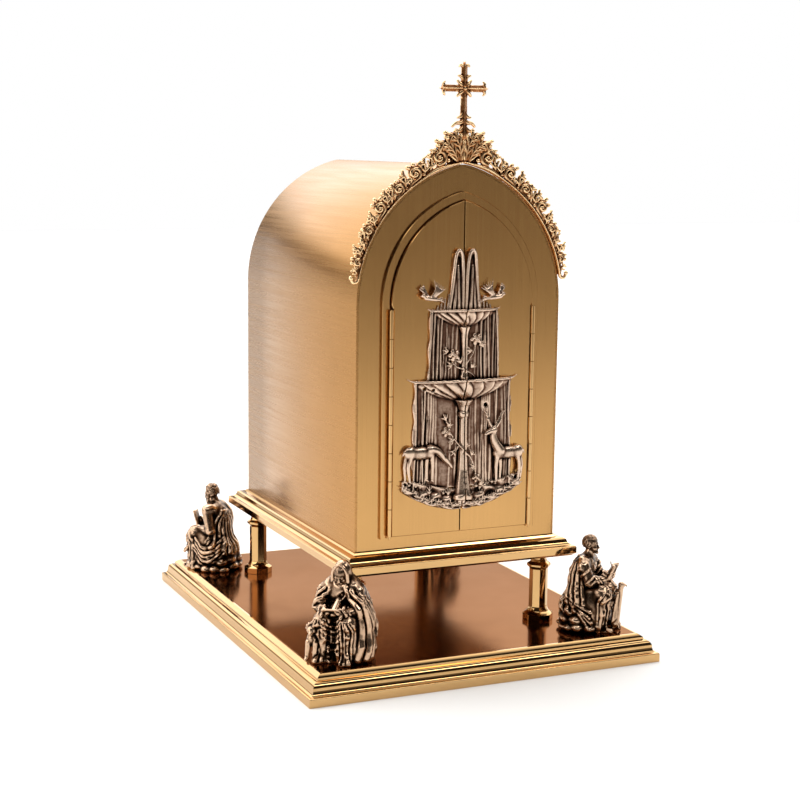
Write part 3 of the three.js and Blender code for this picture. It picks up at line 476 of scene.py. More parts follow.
def bar(x0, x1, y0, y1, z0, z1):
    """Square bar between two corners."""
    ring = [(x0, y0), (x1, y0), (x1, y1), (x0, y1)]
    return loft(np.array([[(x, y, z) for x, y in ring] for z in (z0, z1)], float))


hinge_x = 91.3
hinge_y = -199.5
knuckle_radius = 2.4
pin_radius = 1.0
pin_bore = 1.3
strip = 0.9
strip_back = -190.8
knuckle_back = -196.3
knuckles = 8
knuckle = (hinge_top - 0.4 - door_foot) / knuckles
for side, word in ((-1, "left"), (1, "right")):
    for first, kind, near, strip_front in ((0, "frame", 90.0, -197.7), (1, "door", 88.5, -199.0)):
        far = near + strip
        parts = [bar(side * near, side * far, knuckle_back, strip_back, door_foot + 0.2, hinge_top - 0.6)]
        for i in range(first, knuckles, 2):
            low = door_foot + i * knuckle + 0.2
            high = low + knuckle - 0.4
            parts.append(turned_rod(side * hinge_x, hinge_y, low, high, knuckle_radius, pin_bore))
            parts.append(bar(side * near, side * far, strip_front, knuckle_back, low, high))
        points, faces = joined(parts)
        hinge = make_piece("hinge_" + kind + "_leaf_" + word + "_round", points, faces,
                           "house" if kind == "frame" else word + "_door", polished_brass)
        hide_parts("hinge_" + kind + "_leaf_" + word)
    points, faces = joined([turned_rod(side * hinge_x, hinge_y, frame_foot, hinge_top, pin_radius)])
    pin = make_piece("hinge_pin_" + word + "_round", points, faces, "house", polished_brass)
    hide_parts("hinge_pin_" + word)

# Fountain relief: bronze cast in two halves, antique silvered, then blackened
# and rubbed back, so that the hollows stay dark. It is modelled as in wax: each
# form is pressed into a block of distances, and the skin is drawn round it.


def curve_through(points, pieces):
    """Points along a smooth (Catmull-Rom) curve through the given ones, in as many pieces."""
    points = np.array(points, float)
    whole = np.concatenate([points[:1] * 2 - points[1:2], points, points[-1:] * 2 - points[-2:-1]])
    spans = len(points) - 1
    place = np.linspace(0, spans, pieces + 1)
    index = np.minimum(place.astype(int), spans - 1)
    t = (place - index)[:, None]
    p0, p1, p2, p3 = (whole[index + k] for k in range(4))
    return 0.5 * (2 * p1 + (p2 - p0) * t + (2 * p0 - 5 * p1 + 4 * p2 - p3) * t ** 2
                  + (3 * p1 - p0 - 3 * p2 + p3) * t ** 3)


class Wax:
    """A block of signed distances in millimetres on an even grid."""

    def __init__(self, low, high, cell):
        """Even grid between two corners, all of it 6 mm outside any form."""
        self.cell = cell
        self.axes = [np.arange(a, b + cell, cell, dtype=np.float32) for a, b in zip(low, high)]
        self.field = np.full([len(a) for a in self.axes], 6.0, np.float32)

    def press(self, distance, low, high, blend=1.0, cut=False):
        """Join a form, or cut it away, with a fillet of the size blend, inside its box only."""
        reach = blend + 2 * self.cell
        part = tuple(slice(int(np.searchsorted(a, lo - reach)), int(np.searchsorted(a, hi + reach)))
                     for a, lo, hi in zip(self.axes, low, high))
        if any(p.start >= p.stop for p in part):
            return
        x, y, z = (a[p] for a, p in zip(self.axes, part))
        form = distance(x[:, None, None], y[None, :, None], z[None, None, :])
        before = self.field[part]
        if cut:
            form = -form
            soft = np.maximum(blend - np.abs(before - form), 0)
            self.field[part] = np.maximum(before, form) + soft * soft / (4 * max(blend, 1e-3))
        else:
            soft = np.maximum(blend - np.abs(before - form), 0)
            self.field[part] = np.minimum(before, form) - soft * soft / (4 * max(blend, 1e-3))

    def ball(self, centre, radii, blend=1.0, cut=False):
        """Ellipsoid: the distance is the scaled radius less one, made true near the skin."""
        radii = np.array([radii] * 3 if np.isscalar(radii) else radii, np.float32)

        def distance(x, y, z):
            """How far a place lies outside the ellipsoid."""
            first = second = 0
            for offset, radius in zip((x - centre[0], y - centre[1], z - centre[2]), radii):
                along = offset / radius
                first = first + along ** 2
                second = second + (along / radius) ** 2
            first = np.sqrt(first)
            return first * (first - 1) / np.maximum(np.sqrt(second), 1e-4)

        self.press(distance, np.array(centre) - radii, np.array(centre) + radii, blend, cut)

    def rod_form(self, start, end, radius, radius_end, flat=None):
        """Distance to a round-ended taper, and its box. flat = (direction, factor) thins it that way."""
        start, end = np.array(start, float), np.array(end, float)
        line = end - start
        length = max(float(line @ line), 1e-6)
        widest = max(radius, radius_end)

        def distance(x, y, z):
            """Distance to the nearest point of the axis, less the radius there."""
            dx, dy, dz = x - start[0], y - start[1], z - start[2]
            t = np.clip((dx * line[0] + dy * line[1] + dz * line[2]) / length, 0, 1)
            dx, dy, dz = dx - t * line[0], dy - t * line[1], dz - t * line[2]
            square = dx * dx + dy * dy + dz * dz
            wide = radius + (radius_end - radius) * t
            if flat is None:
                return np.sqrt(square) - wide
            way, factor = flat
            over = dx * way[0] + dy * way[1] + dz * way[2]
            return (np.sqrt(square + over * over * (1 / factor ** 2 - 1)) - wide) * (0.5 + 0.5 * factor)

        return distance, np.minimum(start, end) - widest, np.maximum(start, end) + widest

    def rod(self, start, end, radius, radius_end=None, blend=1.0, cut=False):
        """Round-ended taper from start to end."""
        form = self.rod_form(start, end, radius, radius if radius_end is None else radius_end)
        self.press(*form, blend, cut)

    def press_row(self, forms, blend, cut=False):
        """Press a row of forms as one, so that the places where they overlap do not swell."""
        if not forms:
            return
        low = np.min([form[1] for form in forms], axis=0)
        high = np.max([form[2] for form in forms], axis=0)

        def distance(x, y, z):
            """The least distance to any form of the row."""
            nearest = np.full(np.broadcast_shapes(x.shape, y.shape, z.shape), 9.0, np.float32)
            for form, near, far in forms:
                part = tuple(slice(int(np.searchsorted(a.ravel(), lo - blend - 2)),
                                   int(np.searchsorted(a.ravel(), hi + blend + 2)))
                             for a, lo, hi in zip((x, y, z), near, far))
                if all(p.start < p.stop for p in part):
                    found = form(x[part[0]], y[:, part[1]], z[:, :, part[2]])
                    nearest[part] = np.minimum(nearest[part], found)
            return nearest

        self.press(distance, low, high, blend, cut)

    def strand(self, path, radius, radius_end=None, blend=1.0, flat=None, pieces=8):
        """Rods along a smooth curve through the path's points, tapering from one radius to the other."""
        curve = curve_through(path, max(pieces, len(path) - 1))
        widths = np.linspace(radius, radius if radius_end is None else radius_end, len(curve))
        self.press_row([self.rod_form(a, b, ra, rb, flat) for a, b, ra, rb in
                        zip(curve[:-1], curve[1:], widths[:-1], widths[1:])], blend)

    def land(self, ray):
        """Where a ray (start and direction in six numbers) first meets the wax, or None."""
        start, way = np.array(ray[:3], float), np.array(ray[3:], float)
        farthest = 130
        line = start + np.arange(0, farthest, self.cell / 2)[:, None] * way
        index = np.rint((line - [a[0] for a in self.axes]) / self.cell).astype(int)
        within = ((index >= 0) & (index < self.field.shape)).all(axis=1)
        index = np.where(within[:, None], index, 0)
        met = within & (self.field[tuple(index.T)] < 0)
        return line[np.argmax(met)] if met.any() else None

    def lay(self, rays, radius, radius_end, blend, sink, cut=False, pieces=14):
        """Strand on the skin: every ray of a smooth row is followed until it lands, then sunk a little."""
        rows = curve_through(rays, pieces)
        landed = [(self.land(row), row[3:]) for row in rows]
        widths = np.linspace(radius, radius_end, len(rows))
        forms = []
        for (a, way_a), (b, way_b), ra, rb in zip(landed[:-1], landed[1:], widths[:-1], widths[1:]):
            if a is not None and b is not None and np.linalg.norm(b - a) < 14:
                forms.append(self.rod_form(a + way_a * sink, b + way_b * sink, ra, rb))
        self.press_row(forms, blend, cut)

    def skin(self):
        """
        Points and quads round the wax. Each grid cell that the skin crosses gets one
        point, the mean of the crossings on its edges, and each crossed grid edge
        gets the quad of its four cells.
        """
        f = self.field
        for axis in range(3):
            rim = [slice(None)] * 3
            for end in (0, -1):
                rim[axis] = end
                f[tuple(rim)] = np.maximum(f[tuple(rim)], 0.1)
        size = np.array(f.shape) - 1
        total = np.zeros((*size, 3), np.float32)
        count = np.zeros(size, np.uint8)

        def corner(offset):
            """The field at one corner of every cell."""
            return f[tuple(slice(o, o + s) for o, s in zip(offset, size))]

        for axis in range(3):
            second, third = (axis + 1) % 3, (axis + 2) % 3
            for u in (0, 1):
                for v in (0, 1):
                    start = [0, 0, 0]
                    start[second], start[third] = u, v
                    end = list(start)
                    end[axis] = 1
                    a, b = corner(start), corner(end)
                    crossed = (a < 0) != (b < 0)
                    total[..., axis][crossed] += a[crossed] / (a[crossed] - b[crossed])
                    total[..., second][crossed] += u
                    total[..., third][crossed] += v
                    count += crossed
        active = count > 0
        number = np.full(size, -1, np.int64)
        number[active] = np.arange(int(active.sum()))
        where = np.argwhere(active)
        points = (where + total[active] / count[active][:, None]) * self.cell
        points += np.array([a[0] for a in self.axes])
        quads = []
        for axis in range(3):
            second, third = (axis + 1) % 3, (axis + 2) % 3
            inner = [slice(None)] * 3
            inner[axis] = slice(0, -1)
            beyond = list(inner)
            beyond[axis] = slice(1, None)
            a, b = f[tuple(inner)] < 0, f[tuple(beyond)] < 0
            for now, other, flip in ((a, b, False), (b, a, True)):
                edges = np.argwhere(now & ~other)
                edges = edges[(edges[:, second] > 0) & (edges[:, third] > 0)]
                cells = []
                for du, dv in ((-1, -1), (0, -1), (0, 0), (-1, 0)):
                    cell = edges.copy()
                    cell[:, second] += du
                    cell[:, third] += dv
                    cells.append(number[tuple(cell.T)])
                quad = np.stack(cells, axis=1)
                quads.append(quad[:, ::-1] if flip else quad)
        return points, np.concatenate(quads)


def smoothed(points, quads, rounds, share=0.5):
    """Move every point towards the mean of its neighbours, again and again."""
    pairs = np.concatenate([quads[:, [0, 1]], quads[:, [1, 2]], quads[:, [2, 3]], quads[:, [3, 0]]])
    pairs = np.concatenate([pairs, pairs[:, ::-1]])
    number = np.maximum(np.bincount(pairs[:, 0], minlength=len(points)), 1)[:, None]
    for _ in range(rounds):
        mean = np.stack([np.bincount(pairs[:, 0], points[pairs[:, 1], k], len(points))
                         for k in range(3)], axis=1)
        points = points + share * (mean / number - points)
    return points


def cast_piece(name, skins, place, body, material, node):
    """
    Place the skins of one casting and make the object. The attribute "height_over" tells
    how far each point stands above (1) or below (0) the smoothed form, at two
    scales, which is where a casting is rubbed bright or stays dark.
    """
    starts = np.cumsum([0] + [len(points) for points, _ in skins[:-1]])
    quads = np.concatenate([quads + start for (_, quads), start in zip(skins, starts)])
    points = smoothed(np.concatenate([points for points, _ in skins]), quads, 1, 0.35)
    a, b, c, d = (points[quads[:, k]] for k in range(4))
    normal_of = np.cross(c - a, d - b)
    normals = np.zeros_like(points)
    for k in range(4):
        for axis in range(3):
            normals[:, axis] += np.bincount(quads[:, k], normal_of[:, axis], len(points))
    normals /= np.maximum(np.linalg.norm(normals, axis=1), 1e-9)[:, None]
    fine = ((points - smoothed(points, quads, 6)) * normals).sum(1) / 0.35
    broad = ((points - smoothed(points, quads, 45)) * normals).sum(1) / 1.6
    over = np.clip(0.5 + 0.35 * np.tanh(fine) + 0.5 * np.tanh(broad), 0, 1)
    over = np.asarray(over, np.float32)
    placed = place(points)
    mesh = bpy.data.meshes.new(name)
    mesh.vertices.add(len(placed))
    mesh.vertices.foreach_set("co", (placed / 1000).astype(np.float32).ravel())
    mesh.loops.add(quads.size)
    mesh.loops.foreach_set("vertex_index", quads.astype(np.int32).ravel())
    mesh.polygons.add(len(quads))
    mesh.polygons.foreach_set("loop_start", np.arange(0, quads.size, 4, dtype=np.int32))
    mesh.polygons.foreach_set("use_smooth", np.ones(len(quads), bool))
    mesh.update(calc_edges=True)
    mesh.attributes.new("height_over", "FLOAT", "POINT").data.foreach_set("value", over)
    mesh.materials.append(material)
    piece = bpy.data.objects.new(name, mesh)
    bpy.context.scene.collection.objects.link(piece)
    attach(piece, body)
    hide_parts(node)
    return piece


def patinated(name, dark, middle, bright, roughness, wear=0.0):
    """
    Cast metal darkened and rubbed back: dark in the hollows, middle on the slopes
    and bright on the ridges, rougher where the patina is left. More wear leaves less of it.
    """
    material = bpy.data.materials.new(name)
    material.use_nodes = True
    tree = material.node_tree
    metal = tree.nodes["Principled BSDF"]
    over = add_node(tree, "ShaderNodeAttribute", {"attribute_name": "height_over"})
    place = add_node(tree, "ShaderNodeTexCoord")
    # grit about 4 mm across
    grit = add_node(tree, "ShaderNodeTexNoise", Vector=place.outputs["Object"], Scale=260.0, Detail=3.0)
    uneven = add_node(tree, "ShaderNodeMath", {"operation": "MULTIPLY_ADD"},
                      i0=grit.outputs["Fac"], i1=0.24, i2=wear - 0.12)
    worn = add_node(tree, "ShaderNodeMath", {"operation": "ADD"}, i0=over.outputs["Fac"],
                    i1=uneven.outputs[0])
    tones = set_stops(add_node(tree, "ShaderNodeValToRGB", Fac=worn.outputs[0]), [
        (0.26, linear(dark)), (0.5, linear(middle)), (0.8, linear(bright))])
    tree.links.new(tones.outputs["Color"], metal.inputs["Base Color"])
    gloss = add_node(tree, "ShaderNodeMapRange", Value=worn.outputs[0], From_Min=0.2, From_Max=0.8,
                     To_Min=roughness * 1.6, To_Max=roughness)
    tree.links.new(gloss.outputs["Result"], metal.inputs["Roughness"])
    metal.inputs["Metallic"].default_value = 1.0
    lift = add_node(tree, "ShaderNodeBump", Height=grit.outputs["Fac"], Strength=0.25, Distance=0.0002)
    tree.links.new(lift.outputs["Normal"], metal.inputs["Normal"])
    return material


# Antique silver: pale warm ridges, and hollows almost black with patina.
silvered_bronze = patinated("antique_silvered_bronze", "0E0705", "66493A", "D8BEA8", 0.25, 0.07)

# In the wax, y is the height above the door's face, and x and z are as built.
relief_block = ((-84, -0.2, 184), (84, 15, 497), 0.95)
relief = Wax(*relief_block)
rng = np.random.default_rng(7)


def water_curtain(half_low, half_high, low, high, lift, seed):
    """
    Falling water: a slab whose face is the highest of many upright ridges. Each
    is a bell across, uneven in width and height, and wanders and fades as it falls.
    """
    dice = np.random.default_rng(seed)
    count = int(half_low / 1.5)
    ridges = []
    for k in range(count):
        at = -1 + 2 * (k + dice.uniform(0.1, 0.9)) / count
        ridges.append((at, dice.uniform(1.0, 2.8), dice.uniform(0.55, 1.0), dice.uniform(-0.7, 0.7),
                       dice.uniform(0, 6.28)))
    ridges += [(-0.955, 1.8, 1.0, -1, 0), (0.955, 1.8, 1.0, -1, 2)]
    phase = dice.uniform(0, 6.28)

    def distance(x, y, z):
        """How far a place lies in front of the highest ridge, or past the edges of the slab."""
        share = np.clip((z - low) / (high - low), 0, 1)
        half = half_low + (half_high - half_low) * share
        face = 0.44 + 0.06 * np.sin(x * 0.17 + phase)
        for at, width, tall, fades_at, turn_at in ridges:
            off = (x - at * half - 0.8 * np.sin(z * 0.05 + turn_at)) / width
            fading = np.clip(1.25 - np.clip(fades_at - (1 - share), 0, 1) * 3, 0.15, 1)
            strength = tall * fading * (0.55 + 0.45 * abs(at))
            face = np.maximum(face, strength * np.exp(-off * off))
        edge = np.abs(x) - half - 0.9 * np.sin(z * 0.19 + phase)
        return np.maximum(np.maximum((y - face * lift) * 0.6, edge), np.maximum(low - z, z - high))

    relief.press(distance, (-half_low - 3, -0.2, low), (half_low + 3, lift * 1.2, high), 0.4)


def basin(rim_z, foot_z, half, reach, foot_half, flutes, slant):
    """Half-round basin pressed flat: its radius swells upward as a quarter wave, with slanting gadroons."""
    squeeze = half / reach

    def bowl(x, y, z):
        """How far out a place is, less the lobed radius at its height."""
        share = np.clip((z - foot_z) / (rim_z - foot_z), 0, 1)
        spread = np.sqrt(x * x + (y * squeeze) ** 2)
        around = np.arctan2(y * squeeze, x)
        lobe = np.abs(np.cos(flutes * 0.5 * (around + slant * (1 - share))))
        radius = foot_half + (half * 0.97 - foot_half) * np.sin(share * 1.5708) ** 0.85
        radius = radius * (0.78 + 0.22 * lobe ** 0.55)
        return np.maximum((spread - radius) * 0.34, np.maximum(foot_z - z, z - rim_z))

    def rim(x, y, z):
        """Distance to a round rod that runs along the lip."""
        spread = np.sqrt(x * x + (y * squeeze) ** 2)
        across = (spread - half) * np.where(np.abs(x) > half * 0.93, 1.0, 0.42)
        return np.sqrt(across ** 2 + (z - rim_z) ** 2) - 1.7

    relief.press(bowl, (-half, -0.2, foot_z), (half, reach, rim_z), 0.8)
    relief.press(rim, (-half - 2, -0.2, rim_z - 2), (half + 2, reach + 2, rim_z + 2), 0.8)


def stem(steps, depth):
    """Turned stem half sunk in the water: a radius that changes with height."""
    heights, radii = zip(*steps)

    def distance(x, y, z):
        """Distance from the axis, less the radius at that height."""
        radius = np.interp(z, heights, radii)
        return np.maximum(np.sqrt(x * x + (y - depth) ** 2) - radius,
                          np.maximum(heights[0] - z, z - heights[-1])) * 0.8

    wide = max(radii)
    relief.press(distance, (-wide, -0.2, heights[0]), (wide, depth + wide, heights[-1]), 0.6)


def leaf_spray(wax, centre, turn_from, turn_to, count, length, radius, lift):
    """Fan of pointed leaves from one place, each with a slight bow."""
    for angle in np.linspace(turn_from, turn_to, count):
        out = np.array([math.cos(angle), 0, math.sin(angle)])
        middle = np.array(centre) + out * length * 0.55 + np.array([0, lift, 0])
        end = np.array(centre) + out * length + np.array([0, lift * 0.5, 0])
        wax.strand([centre, middle, end], radius, radius * 0.35, 0.5, pieces=4)


def rose(wax, x, y, z, size):
    """Open rose: a bud, an inner ring of three petals, and an outer ring of five."""
    wax.ball((x, y + size * 0.42, z), size * 0.32, 0.3)
    for count, ring, grow, back_by in ((3, 0.36, 0.30, 0.2), (5, 0.7, 0.36, 0.0)):
        for k in range(count):
            angle = 6.283 * k / count + ring
            petal = (x + ring * size * math.cos(angle), y + back_by * size,
                     z + ring * size * math.sin(angle))
            wax.ball(petal, (grow * size, 0.3 * size, grow * size), 0.25)


water_curtain(46.5, 44.5, 338, 422, 4.4, 3)
water_curtain(65, 63, 214, 340, 4.2, 5)
for side in (-1, 1):
    relief.ball((side * 9.5, 0, 450), (9.0, 3.4, 41), 0.8)
    relief.strand([(side * 1.8, 1.5, 424), (side * 2.6, 2.6, 462), (side * 4.6, 3.8, 486),
                   (side * 8.8, 4.6, 492.4), (side * 12.6, 3.8, 486), (side * 15, 2.6, 462),
                   (side * 19, 1.5, 424)], 2.2, 2.0, 1.6, pieces=60)
    relief.strand([(side * 7.5, 2.6, 424), (side * 8.4, 3.4, 448), (side * 9.4, 3.2, 474)],
                  1.9, 0.9, 1.0, pieces=12)
    relief.strand([(side * 13.5, 2.6, 424), (side * 12.4, 3.2, 440), (side * 11.8, 2.6, 458)],
                  1.7, 0.7, 1.0, pieces=12)
    for k in range(4):
        x = side * (21 + 4.4 * k)
        relief.strand([(x, 1, 424), (x - side * 0.8, 1.6, 441 - 4 * k)], 1.6, 0.8, 0.8, pieces=3)

stem(((340, 4.6), (345, 5.2), (349, 4.0), (380, 3.6), (396, 4.4), (404, 7.0)), 3.6)
stem(((200, 12.6), (205, 12.2), (207, 10.6), (212, 9.4), (235, 6.2), (262, 5.2), (292, 4.8), (297, 4.8),
      (299, 6.2), (303, 6.4), (305, 5.0), (310, 6.6), (318, 11)), 4.0)
basin(423, 403, 41, 10.5, 6.0, 17, 0.5)
basin(341, 316, 64, 12.5, 9.0, 19, 0.35)
# Two gadroons at the left of the lower basin are worn through to dark hollows.
for x, z in ((-50, 333), (-40, 331)):
    relief.rod((x, 1.5, z), (x, 16, z), 2.0, 2.4, 0.4, cut=True)
for side in (-1, 1):
    relief.strand([(side * 58, 3.4, 341), (side * 65, 2.2, 341.6), (side * 71.5, 1.4, 344.4)],
                  2.0, 0.5, 1.0, pieces=4)
    relief.strand([(side * 38, 2.6, 423), (side * 43.5, 1.6, 423.6), (side * 47.5, 1.2, 425.6)],
                  1.5, 0.5, 1.0, pieces=4)


def ground(x, y, z):
    """Grassy bank: a lens with its face lifted by uneven knolls."""
    low = 187 + 0.0042 * x * x
    high = 219 - 7.0 * np.cos(x * 0.036)
    knolls = 3.2 + 1.1 * np.sin(x * 0.31 + 2 * np.sin(z * 0.2)) + 0.8 * np.sin(z * 0.55 + x * 0.13)
    return np.maximum((y - knolls) * 0.6, np.maximum(np.maximum(low - z, z - high), np.abs(x) - 77.5))


relief.press(ground, (-79, -0.2, 185), (79, 6, 228), 1.0)
for k in range(64):
    x = -76 + 152 * (k + rng.uniform(-0.3, 0.3)) / 63
    z = 189.5 + 0.0042 * x * x + rng.uniform(-1, 5)
    leaf_spray(relief, (x, 2.6, z), math.radians(20), math.radians(160), 3, rng.uniform(4, 7), 1.0, 1.9)
for k in range(22):
    x = rng.uniform(-74, 74)
    z = 205 + 0.0022 * x * x + rng.uniform(-3, 9)
    leaf_spray(relief, (x, 2.8, z), math.radians(50), math.radians(130), 3, rng.uniform(5, 8), 0.9, 1.3)


def deer(x, z, side, grazing):
    """Deer or stag in profile: barrel, haunch, neck, head and four thin legs, head towards side."""
    def at(dx, y, dz):
        """Place on the relief at an offset from the middle, counted towards the head."""
        return (x + side * dx, y, z + dz)

    relief.ball(at(0, 4.2, 0), (17.5, 4.6, 7.4), 1.2)
    relief.ball(at(-13, 4.2, 0.6), (7.6, 5.0, 8.2), 1.5)
    relief.ball(at(12, 4.4, 0.4), (7.0, 5.0, 7.6), 1.5)
    for dx, knee, foot, depth in ((14, 15.5, 15, 5.4), (10, 8.6, 9.5, 3.0), (-12, -15.6, -13.6, 5.4),
                                  (-16.5, -19.4, -18, 3.0)):
        relief.strand([at(dx, depth, -3), at(knee, depth, -16), at(foot, depth, -33)],
                      2.9, 1.5, 1.0, pieces=6)
        relief.rod(at(foot, depth, -33), at(foot + 1.6, depth, -34.5), 1.7, 1.3, 0.5)
    if grazing:
        relief.strand([at(13, 5, 4), at(22, 5.6, 1), at(31, 5.6, -9)], 5.6, 3.2, 1.5, pieces=6)
        relief.strand([at(31, 5.8, -8), at(36, 6, -14), at(40, 5.6, -19)], 3.5, 1.8, 1.0, pieces=5)
        relief.rod(at(31, 7, -6), at(27, 7.6, -2), 1.6, 0.5, 0.4)
        relief.rod(at(33, 5, -5), at(31, 5, 0), 1.4, 0.5, 0.4)
    else:
        relief.strand([at(11, 5, 3), at(18, 5.6, 14), at(21, 5.8, 26)], 6.4, 3.6, 1.5, pieces=6)
        relief.strand([at(20, 6, 28), at(25, 6.4, 27), at(30.5, 6, 23.6)], 4.5, 2.2, 1.0, pieces=5)
        relief.rod(at(19, 7, 30), at(14, 7.6, 33), 1.6, 0.5, 0.4)
        for lean in (0, 1):
            root = at(20 + 1.5 * lean, 6.4, 31)
            crown = at(9 + 19 * lean, 5.2, 49)
            relief.strand([root, at(12 + 14 * lean, 6.4, 38), crown], 1.9, 1.2, 0.4, pieces=6)
            for share in (0.35, 0.62, 0.85):
                fork = np.array(root) * (1 - share) + np.array(crown) * share
                tine = np.array([side * (5.4 if lean else -5.4), 0.4, 4.8])
                relief.rod(fork, fork + tine, 1.4, 0.8, 0.3)
    relief.rod(at(-20, 4.6, 2.5), at(-22.6, 4.6, -2.5), 1.5, 0.7, 0.5)


deer(-55, 258, 1, True)
deer(59, 252, -1, False)


def dove(x, z, side):
    """Dove alighting on the rim: body, head, fanned tail and two raised wings of long feathers."""
    def at(dx, y, dz):
        """Place on the relief at an offset from the middle, counted towards the head."""
        return (x + side * dx, y, z + dz)

    relief.strand([at(-9, 5, -1), at(0, 6, 0), at(8, 6.2, 1.5)], 2.2, 3.2, 0.8, pieces=5)
    relief.ball(at(11.5, 6.4, 4), 2.7, 0.8)
    relief.rod(at(13, 6.4, 4), at(16, 6.4, 3.4), 1.0, 0.3, 0.3)
    for k in range(4):
        relief.rod(at(-6, 5, -1), at(-17 + 1.2 * k, 4.4 + 0.4 * k, -5 + 2.4 * k), 1.3, 0.6, 0.3)
    for k in range(6):
        spread = k / 5
        relief.strand([at(2 - 4 * spread, 6.5, 2), at(-3 - 7 * spread, 7.6, 10 - 2 * spread),
                       at(-2 - 15 * spread, 6.4, 22 - 10 * spread)], 1.5, 0.6, 0.4, pieces=5)
    for k in range(4):
        spread = k / 3
        relief.strand([at(4, 6.5, 2), at(8 + 3 * spread, 5.4, 9 - spread),
                       at(11 + 5 * spread, 4.2, 17 - 5 * spread)], 1.4, 0.6, 0.4, pieces=4)


dove(-43, 437, -1)
dove(36, 437, 1)
rose(relief, 14, 5.0, 389, 7.5)
rose(relief, -14, 5.0, 371, 7.5)
relief.strand([(-18, 3.6, 366), (-10, 5, 357), (-2, 7, 354), (8, 6.4, 349), (14, 4, 344)],
              1.1, 0.9, 0.5, pieces=16)
relief.strand([(14, 4.4, 384), (10, 5.4, 372), (3, 6, 362)], 1.0, 0.8, 0.5, pieces=8)
for x, z, begin in ((-17, 360, 2.6), (-6, 362, 1.2), (9, 356, 0.2), (8, 376, 2.4), (20, 382, -0.6),
                    (-22, 376, 2.2)):
    leaf_spray(relief, (x, 4.4, z), begin, begin + 1.5, 3, 7, 1.7, 1.6)
relief.strand([(-23, 3, 300), (-19, 4.4, 284), (-9, 7, 268), (0, 9, 258), (9, 8, 248), (15, 5, 236),
               (20, 4, 222)], 1.2, 1.0, 0.5, pieces=22)
relief.strand([(-6, 6.5, 266), (-12, 5, 252), (-10, 5, 240)], 1.0, 0.7, 0.5, pieces=8)
rose(relief, -22, 4.6, 281, 6.4)
rose(relief, 18, 4.8, 224, 6.0)
for x, z, begin in ((-24, 296, 1.2), (-14, 272, 2.8), (-12, 258, 3.2), (3, 262, 0.4), (10, 252, 0.2),
                    (14, 238, 2.6), (22, 216, -0.4), (-20, 288, 0.4)):
    leaf_spray(relief, (x, 5.0, z), begin, begin + 1.6, 3, 7.5, 1.6, 1.8)

# The keyhole goes through the right half and the leaf behind it.
relief.rod((keyhole_x, -3, keyhole_z), (keyhole_x, 20, keyhole_z), keyhole_radius,
           keyhole_radius, 0.2, cut=True)

door_face = -199.4


def in_front_of(plane):
    """Placing of wax whose y is the height in front of an upright plane."""
    return lambda points: points * np.array([1, -1, 1]) + np.array([0, plane, 0])


for side, word in ((-1, "left"), (1, "right")):
    half = Wax(*relief_block)
    half.field = np.maximum(relief.field, seam - side * half.axes[0][:, None, None])
    half.field = np.maximum(half.field, -half.axes[1][None, :, None])
    keep = (half.axes[0] * side) > -2
    half.axes[0] = half.axes[0][keep]
    half.field = np.ascontiguousarray(half.field[keep])
    cast_piece("relief_" + word + "_cast", [half.skin()], in_front_of(door_face),
               word + "_door", silvered_bronze, "relief_" + word)

# Cresting: two gilt bronze castings, one for each slope, that meet at the ridge
# and are soldered to the roof's front edge. A scrolling branch throws off curls
# with a berry in the eye, and two ribbed acanthus leaves rise at the ridge.
roof_radius = past_middle + house_half


def crest(s, h, lift=0.0):
    """Place on the right slope: s down the roof's edge from the ridge, h out from it, lift to the front."""
    angle = math.acos(past_middle / roof_radius) - s / roof_radius
    reach = roof_radius + h
    return (reach * math.cos(angle) - past_middle, lift, spring + reach * math.sin(angle))


def curl(wax, s, h, ring, thick, lobes, reach_out, stem=True):
    """Curled leaf round an eye at s, h: it spirals in from below, lobed on its back, with a berry in it."""
    path = []
    if stem:
        path = [crest(s + ring * 2.1, 1.2, 0.4), crest(s + ring * 1.15, h - ring * 1.0, 1.0)]
    for share in np.linspace(0, 1, 11):
        angle = math.radians(-75 - 420 * share)
        reach = ring * (1 - 0.68 * share)
        path.append(crest(s + reach * math.cos(angle), h + reach * math.sin(angle), 1.0 + 2.6 * share))
    wax.ball(crest(s, h, -1.4), (ring * 1.02, 1.9, ring * 1.02), 0.8)
    for k in range(lobes):
        angle = math.radians(-128 - 37 * k)
        root = crest(s + ring * 0.7 * math.cos(angle), h + ring * 0.7 * math.sin(angle), 0.0)
        far = ring + reach_out * (0.8 + 0.25 * math.sin(k * 2.6 + s))
        end = crest(s + far * math.cos(angle - 0.25), h + far * math.sin(angle - 0.25), 0.9)
        wax.strand([root, end], thick * 1.05, thick * 0.9, 0.5, pieces=4)
        wax.ball(end, thick * 1.0, 0.3)
    wax.strand(path, thick * 1.15, thick * 0.6, 0.6, pieces=40)
    wax.ball(crest(s, h, 2.8), ring * 0.32, 0.3)


